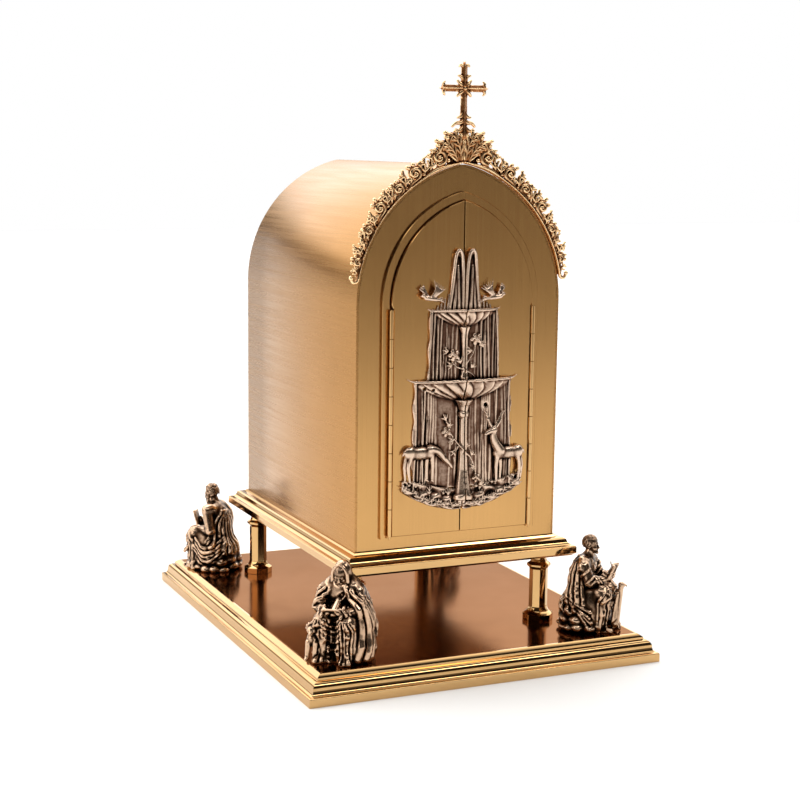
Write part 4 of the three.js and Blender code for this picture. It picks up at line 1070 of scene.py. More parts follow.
def leaf_blade(wax, spine, width, lift, pairs):
    """
    Acanthus leaf along a spine of (x, z) points: a midrib that bows forward, pairs of
    ribs that end in round lobes, a thin web behind them, and a rolled tip.
    """
    line = curve_through([(x, 0, z) for x, z in spine], 12)
    shares = np.linspace(0, 1, 13)
    line[:, 1] = lift * np.sin(1.9 * shares)
    half = width * (0.3 + 0.7 * np.sin(np.pi * (0.12 + 0.78 * shares)))
    along = np.gradient(line, axis=0)
    along /= np.linalg.norm(along, axis=1)[:, None]
    beside = np.stack([along[:, 2], np.zeros(13), -along[:, 0]], axis=1)
    wax.strand(line - np.array([0, 1.6, 0]), width * 0.62, width * 0.4, 0.5,
               flat=((0, 1, 0), 0.4), pieces=10)
    for k in np.linspace(1, 10, pairs).astype(int):
        for side in (-1, 1):
            tip = line[min(k + 2, 12)] + beside[k] * side * half[k] - np.array([0, 0.7, 0])
            middle = (line[k - 1] + tip) / 2 + np.array([0, 0.5, 0])
            wax.strand([line[k - 1], middle, tip], width * 0.24, width * 0.27, 0.3, pieces=4)
            wax.ball(tip, width * 0.33, 0.3)
    wax.strand(line + np.array([0, 0.4, 0]), width * 0.24, width * 0.18, 0.3, pieces=12)
    wax.ball(line[-1] + np.array([0, 0.5, 0]), width * 0.33, 0.4)


def down_slope(*places):
    """The (x, z) points of places given as (s, h) on the right slope."""
    return [(crest(s, h)[0], crest(s, h)[2]) for s, h in places]


def ridge_leaves(wax):
    """The right-hand leaves at the ridge: four that fan out and roll over, and a curl at the outer side."""
    wax.ball((12, -1.2, 603), (15, 2.2, 14), 1.5)
    leaf_blade(wax, [(3, 592), (4.5, 606), (9, 617), (16, 623), (22, 620)], 7.8, 3.6, 5)
    leaf_blade(wax, [(6, 592), (12, 603), (19, 610.5), (27, 614), (33, 611)], 7.6, 3.8, 5)
    leaf_blade(wax, [(2.6, 596), (2.8, 606), (3.4, 615), (7.5, 621)], 4.2, 3.0, 3)
    curl(wax, 26.5, 15.5, 8.4, 2.9, 3, 3.4, stem=False)
    leaf_blade(wax, [(20, 596), (29, 602), (36, 606.5), (40, 603.5)], 4.2, 3.0, 3)


crest_box = ((-1, -5.5, 452), (147, 7.4, 641))
crest_wax = Wax(*crest_box, 0.66)
slope_end = 194


def edge_rib(x, y, z):
    """Smooth rib along the roof's edge, fuller beside the ridge leaves."""
    h = np.sqrt((x + past_middle) ** 2 + (z - spring) ** 2) - roof_radius
    s = (math.acos(past_middle / roof_radius) - np.arctan2(z - spring, x + past_middle)) * roof_radius
    half = 1.3 + 1.9 * np.exp(-((s - 33) / 15) ** 2)
    rounded_off = np.sqrt(((h - 0.4 - half) / half) ** 2 + (y / 4.6) ** 2) - 1
    return np.maximum(rounded_off * half * 0.8, np.maximum(s - slope_end, -s))


crest_wax.press(edge_rib, *crest_box, 0.3)
ridge_leaves(crest_wax)
for s, h, ring in ((59, 12.6, 7.2), (84, 10.2, 6.2), (113.5, 12.0, 6.8), (140, 8.6, 5.4),
                   (176.5, 7.0, 4.8)):
    curl(crest_wax, s, h, ring, 1.2 + ring * 0.2, 5, ring * 0.6)
for width, *places in (
        (5.8, (53, 1), (48, 8), (45, 15), (46.5, 20)), (5.2, (45, 1), (40, 8), (35.5, 16), (36, 23)),
        (5.8, (79, 1), (74.5, 9), (71, 16), (73, 21)),
        (4.0, (72, 1), (68.5, 6), (66, 10)), (5.6, (102, 1), (96.5, 8), (91, 14), (90, 18.5)),
        (5.6, (108, 1), (103.5, 9), (99.5, 15), (101, 20)),
        (3.6, (97, 1), (93.5, 6), (91, 9)), (5.6, (134, 1), (129.5, 8), (125.5, 13), (127, 17)),
        (3.6, (127, 1), (123.5, 6), (121, 9)), (5.4, (158, 1), (152, 8), (146, 12), (144, 15)),
        (5.4, (170, 1), (166.5, 8), (163, 12), (164.5, 16)), (4.4, (163, 1), (158.5, 6), (155, 11)),
        (3.6, (152, 1), (148.5, 5), (146, 8)), (4.0, (190, 1), (187, 6), (184.5, 10)),
        (5.4, (150, 1), (153, 6), (155.5, 9)), (3.4, (186, 1), (181, 4), (177, 3))):
    leaf_blade(crest_wax, down_slope(*places), width, 2.8, 3)
crest_wax.strand([crest(176, 2, 0.6), crest(187, 2.6, 1.4), crest(195.5, 2.2, 1.8), crest(198.6, 6.4, 2.0),
                  crest(194.5, 10.6, 2.0)], 2.5, 1.9, 0.8, pieces=14)
crest_wax.ball(crest(194, 10.6, 2.0), 2.7, 0.4)
across = crest_wax.axes[0][:, None, None]
up = crest_wax.axes[2][None, None, :]
crest_wax.field = np.maximum(crest_wax.field, seam / 2 - across)
crest_wax.field = np.maximum(crest_wax.field, roof_radius + 0.4 - np.sqrt(
    (across + past_middle) ** 2 + (up - spring) ** 2))

# Fire-gilt bronze: bright gold on the ridges over red-brown hollows.
gilt_bronze = patinated("gilt_cast_bronze", "1A0A05", "9C6236", "F4D2A2", 0.2)
crest_skin = crest_wax.skin()
for side, word in ((-1, "left"), (1, "right")):
    quads = crest_skin[1] if side > 0 else crest_skin[1][:, ::-1]
    points = crest_skin[0] * np.array([side, 1, 1])
    cast_piece("cresting_" + word + "_cast", [(points, quads)], in_front_of(-house_end),
               "house", gilt_bronze, "cresting_" + word)

# Cross: gilt bronze casting pegged into the cresting. Its arms have a ridge and
# end in three points, with leafy rays in the angles and leaves at the foot.
cross_wax = Wax((-33, -6.4, 607), (33, 6.4, 708), 0.55)
bar_at = 675.8


def ridged(wax, start, end, half_wide, half_deep, end_wide=None):
    """Bar with a lozenge section whose width may change along it."""
    start, end = np.array(start, float), np.array(end, float)
    length = np.linalg.norm(end - start)
    line = (end - start) / length
    end_wide = half_wide if end_wide is None else end_wide

    def distance(x, y, z):
        """Lozenge: on the skin, both offsets over their half widths add up to one."""
        along = (x - start[0]) * line[0] + (z - start[1]) * line[1]
        beside = np.abs((x - start[0]) * -line[1] + (z - start[1]) * line[0])
        wide = half_wide + (end_wide - half_wide) * np.clip(along / length, 0, 1)
        section = (beside / wide + np.abs(y) / half_deep - 1) * 0.75 * np.minimum(wide, half_deep)
        return np.maximum(section, np.maximum(-along, along - length))

    margin = max(half_wide, end_wide)
    low = np.minimum(start, end) - margin
    high = np.maximum(start, end) + margin
    wax.press(distance, (low[0], -half_deep, low[1]), (high[0], half_deep, high[1]), 0.5)


def three_points(wax, tip, way, reach, spread):
    """End of an arm: a middle point and two side points that curl away from it."""
    tip, way = np.array(tip, float), np.array(way, float)
    beside = np.array([-way[1], way[0]])
    ridged(wax, tip - way * reach * 1.5, tip, 4.4, 3.2, 0.5)
    for side in (-1, 1):
        root = tip - way * reach * 1.1
        bend = tip - way * reach * 0.75 + beside * side * spread * 0.7
        point = tip - way * reach * 1.02 + beside * side * spread
        wax.strand([(root[0], 0, root[1]), (bend[0], 0.6, bend[1]), (point[0], 0, point[1])],
                   2.3, 1.1, 0.6, pieces=8)


ridged(cross_wax, (-28, bar_at), (28, bar_at), 4.2, 3.8)
ridged(cross_wax, (0, 622), (0, 702), 5.0, 3.6, 4.2)
three_points(cross_wax, (31, bar_at), (1, 0), 6.5, 7.4)
three_points(cross_wax, (-31, bar_at), (-1, 0), 6.5, 7.4)
three_points(cross_wax, (0, 706.1), (0, 1), 5.6, 6.4)
for across_by in (-1, 1):
    for up_by in (-1, 1):
        out = np.array([across_by, up_by]) * 0.7071
        ray = [(out[0] * reach, lift, bar_at + out[1] * reach)
               for reach, lift in ((2, 0), (7, 1.2), (12, 0.4))]
        cross_wax.strand(ray, 3.4, 1.5, 0.5, pieces=6)
        for turn_by in (-0.5, 0.5):
            lean = np.array([out[0] * math.cos(turn_by) - out[1] * math.sin(turn_by),
                             out[0] * math.sin(turn_by) + out[1] * math.cos(turn_by)])
            cross_wax.strand([ray[0], (lean[0] * 10.5, 0.8, bar_at + lean[1] * 10.5)],
                             2.3, 1.2, 0.4, pieces=4)
    # Leaves curl out from the foot and lie over the cresting.
    for thick, thin, *places in (
            (3.0, 1.6, (0, 0, 640), (5, 0.8, 637), (10, 1.0, 636.5), (14, 0, 633)),
            (2.6, 1.4, (0, 0, 650), (4, 0.8, 644), (8, 1.2, 643)),
            (2.6, 1.3, (0, 0, 684), (4, 0.8, 689), (7.5, 0.6, 690)),
            (3.0, 1.6, (0, 0, 633), (6, 1.4, 628), (12, 1.2, 627)),
            (2.8, 1.5, (0, 0, 626), (5, 1.6, 619), (9, 1.2, 618))):
        path = [(across_by * x, y, z) for x, y, z in places]
        cross_wax.strand(path, thick, thin, 0.6, pieces=len(places) + 4)
cross_wax.ball((0, 0, bar_at), (4.2, 4.4, 4.2), 0.4)
cross_wax.ball((0, 0.6, 624), (5.5, 3.2, 8), 1.2)
cast_piece("cross_cast", [cross_wax.skin()], in_front_of(-house_end),
           "house", gilt_bronze, "cross")

# Seated figures: four solid bronze castings, screwed to the corners of the
# base from below, silvered, blackened and rubbed back like the relief. Each
# sits on a rock, facing out over its corner. Places count from the middle of its foot.
dark_bronze = patinated("dark_patinated_bronze", "090402", "463122", "D0AF92", 0.22)


def from_round(angle, z, x=0.0, y=5.0):
    """Ray towards the upright axis at x, y: angle 0 comes from the front, 90 from +x."""
    a = math.radians(angle)
    return (x + 70 * math.sin(a), y - 70 * math.cos(a), z, -math.sin(a), math.cos(a), 0)


def from_front(x, z):
    """Ray from the front, straight back."""
    return (x, -70, z, 0, 1, 0)


def from_lap(x, y, z=50):
    """Ray from high in front, slanting down through x, y at the height of the lap."""
    return (x, y - 50, z + 50, 0, 0.7071, -0.7071)


def rock_seat(wax, rng, half):
    """Rough rock: a core with boulders pressed round it in four courses."""
    high = 42
    wax.ball((0, 6, 14), (half * 0.8, half * 0.72, high * 0.72), 2)
    for course, count in ((4, 13), (14, 11), (25, 9), (33, 7)):
        for k in range(count):
            angle = 6.283 * (k + rng.uniform(-0.25, 0.25)) / count
            grow = rng.uniform(6.0, 9.5)
            reach = (half - 1) * (1 - 0.24 * course / high) - grow * 0.8
            wax.ball((reach * math.sin(angle),
                      5 - reach * math.cos(angle) * 0.92, course + rng.uniform(-2, 3)),
                     (grow * 1.25, grow * 1.1, grow * rng.uniform(0.6, 0.9)), 3.0)


def clothed_body(wax, lean):
    """Body seated with both knees forward, in a tunic to the feet and a mantle down the back."""
    # Hips, waist, chest, shoulders and neck.
    wax.ball((0, 6, 47), (22, 17, 13), 4)
    wax.ball((0, 7 - lean * 0.3, 62), (17, 13, 17), 5)
    wax.ball((0, 5 - lean * 0.7, 77), (19, 12.5, 13), 5)
    wax.rod((-14, 5 - lean, 84), (14, 5 - lean, 84), 8.2, blend=5)
    wax.rod((0, 4 - lean, 86), (0, 1 - lean * 1.6, 97), 7.2, 5.6, blend=4)
    # The mantle behind, its foot on the rock, and the tunic between the shins.
    wax.ball((0, 12, 58), (19, 10, 27), 5)
    wax.ball((0, 15, 22), (26, 17, 25), 5)
    wax.ball((0, -15, 26), (15, 9, 25), 4)
    # Thigh, knee, shin, cloth beside the thigh, and foot.
    for side in (-1, 1):
        wax.rod((side * 10, 4, 46), (side * 14.5, -20, 48.5), 12.5, 10.6, blend=4)
        wax.ball((side * 14.5, -22, 47.5), 10.4, 3)
        wax.rod((side * 14.5, -23, 45), (side * 13, -20, 8), 9.6, 8.4, blend=3)
        wax.ball((side * 21, -4, 26), (9, 17, 27), 4)
        wax.rod((side * 13, -22, 3.6), (side * 15.5, -33.5, 3.0), 4.6, 3.2, blend=1.5)


def folds(wax, rng, paths, radius, ends, sway, valley):
    """Lay a raised fold along each path of rays, and cut a valley between it and the next."""
    for first, second in zip(paths, paths[1:] + [None]):
        drift_by = np.array([sway * rng.uniform(-1, 1), 0, 0, 0, 0, 0])
        path = [np.array(p, float) + drift_by * (k > 0) for k, p in enumerate(first)]
        grow = rng.uniform(0.6, 1.4)
        wax.lay(path, radius * grow, radius * grow * ends, 1.1, radius * 0.45)
        if second is not None:
            between = [(np.array(a, float) + np.array(b, float)) / 2 for a, b in zip(first, second)]
            wax.lay(between, valley * grow, valley * grow * 1.3, 0.7, -0.1 * valley, cut=True)


def drape_legs(wax, rng):
    """Tunic falling from the knees to the feet, in upright folds round each shin, with swags between."""
    for side in (-1, 1):
        x = side * 13.5
        folds(wax, rng, [[from_round(a * 0.6, 50, x, -20), from_round(a, 38, x, -19),
                          from_round(a, 22, x, -19), from_round(a * 1.08, 3, x, -19)]
                         for a in range(-84, 90, 24)], 2.2, 1.4, 2.6, 1.7)
    wax.lay([from_front(0.5, 44), from_front(-0.6, 24), from_front(0.8, 2)], 2.6, 3.4, 1.0, -0.4, cut=True)
    for drop in (0, 5.5, 11.5, 18):
        wax.lay([from_front(-10.5, 49 - drop), from_front(-4, 42.5 - drop), from_front(3, 42 - drop),
                 from_front(10.5, 48.5 - drop)], 1.5, 1.5, 1.0, 0.3)


def drape_mantle(wax, rng, shoulders):
    """Mantle down the back in long folds that spread over the rock."""
    folds(wax, rng, [[from_round(180 + (a - 180) * 0.5, shoulders, 0, 4),
                      from_round(a, 64), from_round(a, 44), from_round(180 + (a - 180) * 1.15, 27)]
                     for a in range(108, 256, 16)], 2.5, 1.6, 3.0, 1.7)


def drape_lap(wax, rng):
    """Folds from the hips over the thighs to the knees, and slanting ones down the sides."""
    for side in (-1, 1):
        folds(wax, rng, [[from_lap(side * (6 + k * 4.2), 6), from_lap(side * (8 + k * 3.6), -8),
                          from_lap(side * (9 + k * 3.2), -20)] for k in range(4)], 1.5, 1.0, 0.8, 0.9)
        folds(wax, rng, [[from_round(side * (112 - 8 * k), 52 - 2 * k),
                          from_round(side * (92 - 9 * k), 42 - 5 * k),
                          from_round(side * (70 - 8 * k), 27 - 6 * k)] for k in range(4)],
              1.8, 1.2, 1.0, 1.2)


def drape_chest(wax, rng, side):
    """Mantle edge from one shoulder to the other hip, and small folds of the tunic at the neck."""
    folds(wax, rng, [[from_front(side * (16 - 2.5 * k), 88 - k),
                      from_front(side * (6 - 3.0 * k), 76 - 2 * k),
                      from_front(side * (-10 - 1.5 * k), 62 - 2 * k)] for k in range(5)],
          1.5, 1.1, 0.6, 1.0)
    for k in range(3):
        wax.lay([from_front(-8, 88 - 3 * k), from_front(0, 81 - 4.5 * k), from_front(8, 88 - 3 * k)],
                1.1, 1.1, 0.8, 0.3)


def arm(wax, rng, shoulder, elbow, wrist, sleeve=True):
    """Arm bent at the elbow. A sleeve adds width and creases across it; a bare arm stays smooth."""
    shoulder, elbow, wrist = (np.array(p, float) for p in (shoulder, elbow, wrist))
    wax.rod(shoulder, elbow, 7.4, 6.2, blend=2.5)
    wax.rod(elbow, wrist, 6.0, 3.6, blend=2.0)
    if not sleeve:
        return
    for start, end, radius, count in ((shoulder, elbow, 7.4, 5), (elbow, wrist, 5.4, 4)):
        line = (end - start) / np.linalg.norm(end - start)
        outer = np.cross(line, (0, 1, 0.2))
        outer /= np.linalg.norm(outer)
        other = np.cross(line, outer)
        for k in range(count):
            centre = start + (end - start) * (k + 0.6) / (count + 0.4)
            turn_by = rng.uniform(0, 6.28)
            ring = [centre + radius * (math.cos(turn_by + t) * outer + math.sin(turn_by + t) * other)
                    + line * 2.2 * t for t in np.linspace(0, 3.4, 6)]
            wax.strand(ring, 1.5, 0.9, 0.9, pieces=8)


def hand(wax, wrist, finger_tips, spread):
    """Palm, four fingers side by side along spread, from wrist to finger_tips, and a thumb."""
    wrist, tips = np.array(wrist, float), np.array(finger_tips, float)
    spread = np.array(spread, float)
    palm = wrist + (tips - wrist) * 0.45
    wax.rod(wrist, palm, 3.2, 3.4, 1.0)
    for k in range(4):
        across = spread * (k - 1.5) * 1.7
        wax.rod(palm + across * 0.8, tips + across * 1.2, 1.35, 1.0, 0.5)
    wax.rod(palm - spread * 2.4,
            palm + (tips - palm) * 0.4 - spread * 4.0 + np.array([0, 0, 1.2]), 1.4, 1.0, 0.6)


def tablet(wax, centre, right_way, up_way, half_wide, half_high, thick):
    """Thin slab with slightly bowed faces: a page block or an open book's leaf."""
    centre = np.array(centre, float)
    u = np.array(right_way, float) / np.linalg.norm(right_way)
    v = np.array(up_way, float) - np.dot(up_way, u) * u
    v /= np.linalg.norm(v)
    w = np.cross(u, v)
    reach = np.abs(u) * half_wide + np.abs(v) * half_high + np.abs(w) * thick * 2

    def distance(x, y, z):
        """The greatest of the three offsets past the half sizes of the slab."""
        dx, dy, dz = x - centre[0], y - centre[1], z - centre[2]
        a = dx * u[0] + dy * u[1] + dz * u[2]
        b = dx * v[0] + dy * v[1] + dz * v[2]
        c = dx * w[0] + dy * w[1] + dz * w[2]
        bow = 0.8 * (a / half_wide) ** 2
        return np.maximum(np.maximum(np.abs(a) - half_wide, np.abs(b) - half_high),
                          np.abs(c - bow) - thick)

    wax.press(distance, centre - reach, centre + reach, 0.5)


def lock(wax, lon, lat, length, radius, wave):
    """One lock of hair from a place on the crown, down the skull."""
    line = []
    for t in np.linspace(0, 1, 7):
        low = math.radians(lat - length * t)
        way = math.radians(lon + wave * math.sin(t * 6.5 + lon))
        ring = math.cos(max(low, -0.5))
        line.append((7.9 * math.sin(way) * ring, 0.9 - 9.3 * math.cos(way) * ring,
                     2.8 + 9.0 * math.sin(low) if low > -0.5 else 2.8 - 4.3 + 7 * (low + 0.5)))
    wax.strand(line, radius, radius * 0.7, 0.5, pieces=9)


def wavy_hair(wax, rng):
    """Long locks in four rows round the skull, and shorter ones over the brow."""
    wax.ball((0, 1.8, 3.2), (8.0, 8.8, 8.6), 0.8)
    for ring_at, count, length in ((80, 9, 60), (58, 18, 55), (34, 22, 50), (12, 20, 44)):
        for k in range(count):
            lon = 42 + (318 - 42) * (k + 0.5 * (ring_at % 4 > 1)) / (count - 1)
            lock(wax, lon + rng.uniform(-4, 4), ring_at, length, 1.15, 6)
    for k in range(7):
        lon = -42 + 14 * k
        lock(wax, lon, 62, 30, 1.1, 8)


def curly_hair(wax, rng):
    """Short ringlets strewn over the skull, clear of the face."""
    wax.ball((0, 2.2, 3.4), (8.4, 9.0, 8.8), 0.8)
    for k in range(120):
        lat = math.degrees(math.asin(rng.uniform(-0.5, 0.98)))
        lon = rng.uniform(0, 360)
        if (lon < 48 or lon > 312) and lat < 38:
            continue
        way, low = math.radians(lon), math.radians(lat)
        ring = math.cos(low)
        centre = np.array([9.0 * math.sin(way) * ring, 1.4 - 9.8 * math.cos(way) * ring,
                           3.2 + 9.4 * math.sin(low)])
        turn_by = rng.uniform(0, 6.28)
        side_way = np.array([math.cos(way), math.sin(way), 0])
        up_way = np.array([0, 0, 1.0])
        ringlet = [centre + 1.5 * (math.cos(turn_by + t) * side_way + math.sin(turn_by + t) * up_way)
                   for t in np.linspace(0, 4.6, 6)]
        wax.strand(ringlet, 0.85, 0.6, 0.3, pieces=7)


def full_beard(wax):
    """Locks side by side from the cheeks and chin, and a moustache."""
    wax.ball((0, -6.0, -9.5), (5.0, 4.2, 5.0), 1.5)
    for k in range(13):
        x = -5.6 + 11.2 * k / 12
        depth = -7.4 + 0.10 * x * x
        wax.strand([(x, depth - 0.6, -5.8 - 0.5 * (abs(x) < 2)),
                    (x * 0.95 + 0.6 * math.sin(k * 2.1), depth - 2.0, -10),
                    (x * 0.55, depth - 1.6, -14.5 + 0.2 * abs(x))], 1.0, 0.6, 0.4, pieces=7)
    for side in (-1, 1):
        wax.strand([(0, -9.4, -5.0), (side * 2.4, -8.8, -5.8), (side * 4.2, -7.0, -8.4)],
                   0.8, 0.6, 0.4, pieces=6)


def head(rng, hair, beard=False, hooded=False):
    """
    Head 22 high that faces -y, on a grid twice as fine as the body's. The face is
    a calm, ageless one on schoolbook proportions: eyes half way, nose half way below.
    """
    wax = Wax((-13, -15, -21), (13, 15, 15), 0.5)
    wax.ball((0, 0.8, 2.6), (7.3, 8.8, 8.4), 1.5)
    wax.ball((0, -2.0, -3.6), (5.7, 6.4, 7.4), 2.5)
    wax.rod((0, 2.5, -8), (0, 4.0, -20), 4.8, 5.4, 2.0)
    wax.rod((-3.8, -7.4, 1.5), (3.8, -7.4, 1.5), 1.2, 1.2, 1.2)
    for side in (-1, 1):
        wax.ball((side * 2.9, -8.6, -0.3), (2.0, 1.5, 1.3), 0.8, cut=True)
        wax.ball((side * 2.9, -6.9, -0.4), (1.6, 1.0, 0.9), 0.3)
        wax.ball((side * 3.8, -5.2, -3.6), (2.4, 2.2, 2.4), 2.0)
        wax.ball((side * 7.0, 1.0, -1.2), (1.1, 1.8, 2.6), 0.6)
        wax.rod((0, -8.2, -5.3), (side * 1.7, -7.8, -5.7), 0.7, 0.5, 0.5)
    wax.rod((0, -7.8, 1.0), (0, -9.6, -3.4), 0.8, 1.3, 0.9)
    wax.rod((-1.0, -9.0, -3.6), (1.0, -9.0, -3.6), 0.9, 0.9, 0.6)
    wax.rod((-1.8, -8.9, -6.1), (1.8, -8.9, -6.1), 0.3, 0.3, 0.4, cut=True)
    wax.ball((0, -7.9, -6.9), (1.5, 0.8, 0.7), 0.6)
    wax.ball((0, -7.4, -9.4), (2.2, 1.9, 1.9), 1.5)
    if hair == "wavy":
        wavy_hair(wax, rng)
    elif hair == "curls":
        curly_hair(wax, rng)
    if beard:
        full_beard(wax)
    if hooded:
        wax.ball((0, 1.5, 3), (7.6, 8.0, 8.6), 0.8)
    return wax.skin()


def turned_by(yaw, pitch, roll_by=0.0):
    """Rotation matrix: roll about y, then pitch about x (positive bows forward), then yaw about z."""
    a, b, c = (math.radians(v) for v in (yaw, pitch, roll_by))
    about_z = np.array([[math.cos(a), -math.sin(a), 0], [math.sin(a), math.cos(a), 0], [0, 0, 1]])
    about_x = np.array([[1, 0, 0], [0, math.cos(b), -math.sin(b)], [0, math.sin(b), math.cos(b)]])
    about_y = np.array([[math.cos(c), 0, math.sin(c)], [0, 1, 0], [-math.sin(c), 0, math.cos(c)]])
    return about_z @ about_x @ about_y


def beast_head(wax, centre, size, muzzle_way, mane=0, horns=False):
    """Small animal's head: skull, muzzle and ears, with a ring of mane or a pair of horns."""
    centre = np.array(centre, float)
    way = np.array(muzzle_way, float) / np.linalg.norm(muzzle_way)
    side_way = np.cross(way, (0, 0, 1))
    side_way /= np.linalg.norm(side_way)
    up_way = np.cross(side_way, way)
    wax.ball(centre, size, 1.0)
    wax.rod(centre, centre + way * size * 1.25 - up_way * size * 0.25, size * 0.62, size * 0.42, 1.0)
    for side in (-1, 1):
        wax.ball(centre + way * size * 0.55 + side_way * side * size * 0.48 + up_way * size * 0.42,
                 size * 0.22, 0.5)
        wax.rod(centre + side_way * side * size * 0.7 + up_way * size * 0.6,
                centre + side_way * side * size * 1.05 + up_way * size * 1.0, size * 0.3, size * 0.14, 0.5)
        if horns:
            wax.strand([centre + side_way * side * size * 0.5 + up_way * size * 0.8,
                        centre + side_way * side * size * 1.2 + up_way * size * 1.3,
                        centre + side_way * side * size * 1.1 + up_way * size * 2.1],
                       size * 0.26, size * 0.1, 0.5)
    for k in range(mane):
        angle = 6.283 * k / mane
        out = math.cos(angle) * side_way + math.sin(angle) * up_way
        root = centre - way * size * 0.25 + out * size * 0.8
        wax.strand([root, root + out * size * 0.5 - way * size * 0.5,
                    root + out * size * 0.5 - way * size * 1.2 - up_way * size * 0.5],
                   size * 0.3, size * 0.18, 0.4)


def wing(wax, root, tip, drop, feathers, radius):
    """Folded wing: feathers that fan from the root, each lower and shorter than the last."""
    root, tip, drop = (np.array(p, float) for p in (root, tip, drop))
    for k in range(feathers):
        share = k / (feathers - 1)
        end = tip * (1 - share) + drop * share
        middle = (root + end) / 2 + np.array([0, 0, 3.0 * (1 - share)])
        wax.strand([root, middle, end], radius, radius * 0.55, 0.4, pieces=6)


def hooded_figure(wax, rng):
    """Elder with the mantle drawn over a bowed head, a scroll on the lap and a small lion at the knee."""
    rock_seat(wax, rng, 36)
    clothed_body(wax, 6)
    # The mantle falls from the head over both shoulders, widest on the +x side.
    wax.ball((0, 2, 100), (10.8, 10.2, 14.6), 2)
    wax.ball((0, 6, 86), (20.5, 11.5, 13), 5)
    wax.ball((18, 6, 64), (12, 14, 24), 5)
    wax.ball((24, 3, 38), (13, 17, 30), 6)
    wax.ball((27, 0, 14), (12, 19, 18), 5)
    wax.ball((-20, 5, 62), (9, 12, 20), 5)
    drape_legs(wax, rng)
    drape_lap(wax, rng)
    drape_mantle(wax, rng, 92)
    arm(wax, rng, (-20, -1, 80), (-25, -8, 60), (-9, -27, 57))
    arm(wax, rng, (20, -1, 80), (25, -9, 60), (11, -28, 60))
    folds(wax, rng, [[from_front(12 - 3.0 * k, 84 - 2 * k), from_front(3 - 3.5 * k, 72 - 2 * k),
                      from_front(-12 - k, 64 - 2.6 * k)] for k in range(4)], 1.6, 1.1, 0.6, 1.1)
    folds(wax, rng, [[from_round(30 + 17 * k, 86 - 4 * k), from_round(52 + 15 * k, 64),
                      from_round(60 + 15 * k, 38), from_round(50 + 16 * k, 6)] for k in range(5)],
          2.3, 1.7, 1.5, 1.4)
    folds(wax, rng, [[from_round(-40 - 14 * k, 82), from_round(-58 - 13 * k, 64),
                      from_round(-66 - 13 * k, 46)] for k in range(4)], 1.8, 1.3, 1.2, 1.2)
    # The hood's mouth is cut deep, and its smooth edge stands out round the face.
    wax.ball((0, -8.5, 97), (7.2, 9, 10.5), 1.2, cut=True)
    wax.strand([(-9.6, -5, 84), (-9.4, -7, 94), (-7.4, -7.6, 104), (0, -8.2, 110.6), (7.4, -7.6, 104),
                (9.4, -7, 94), (10.4, -5, 84), (13, -6, 74)], 1.9, 2.2, 1.0, pieces=26)
    wax.strand([(0, -9, 69), (0, -25, 58.5)], 4.4, 4.4, 1.5)
    tablet(wax, (0, -28, 60.5), (1, 0, 0.08), (0, -0.75, 0.6), 11.5, 7.5, 1.1)
    for side in (-1, 1):
        wax.rod((side * 11.8, -33, 55.5), (side * 11.8, -22.6, 65.4), 1.9, 1.9, 0.6)
    hand(wax, (-9, -27, 58.5), (-1.5, -30, 62.4), (0.3, -0.5, 0.6))
    hand(wax, (11, -28, 61), (4.5, -31, 60.8), (0.3, -0.5, 0.6))
    # A small lion crouches against the knee on the -x side.
    wax.ball((-25, -10, 24), (8.5, 15, 9), 2)
    wax.ball((-26, -22, 25), (7.5, 7, 9), 2)
    for x in (-30, -21):
        wax.rod((x, -26, 22), (x - 0.5, -29, 5), 3.6, 2.6, 1.0)
        wax.rod((x - 0.5, -29, 4), (x - 0.5, -33, 3), 2.6, 2.0, 0.8)
    beast_head(wax, (-25, -28, 37), 5.8, (0.15, -1, -0.25), mane=13)


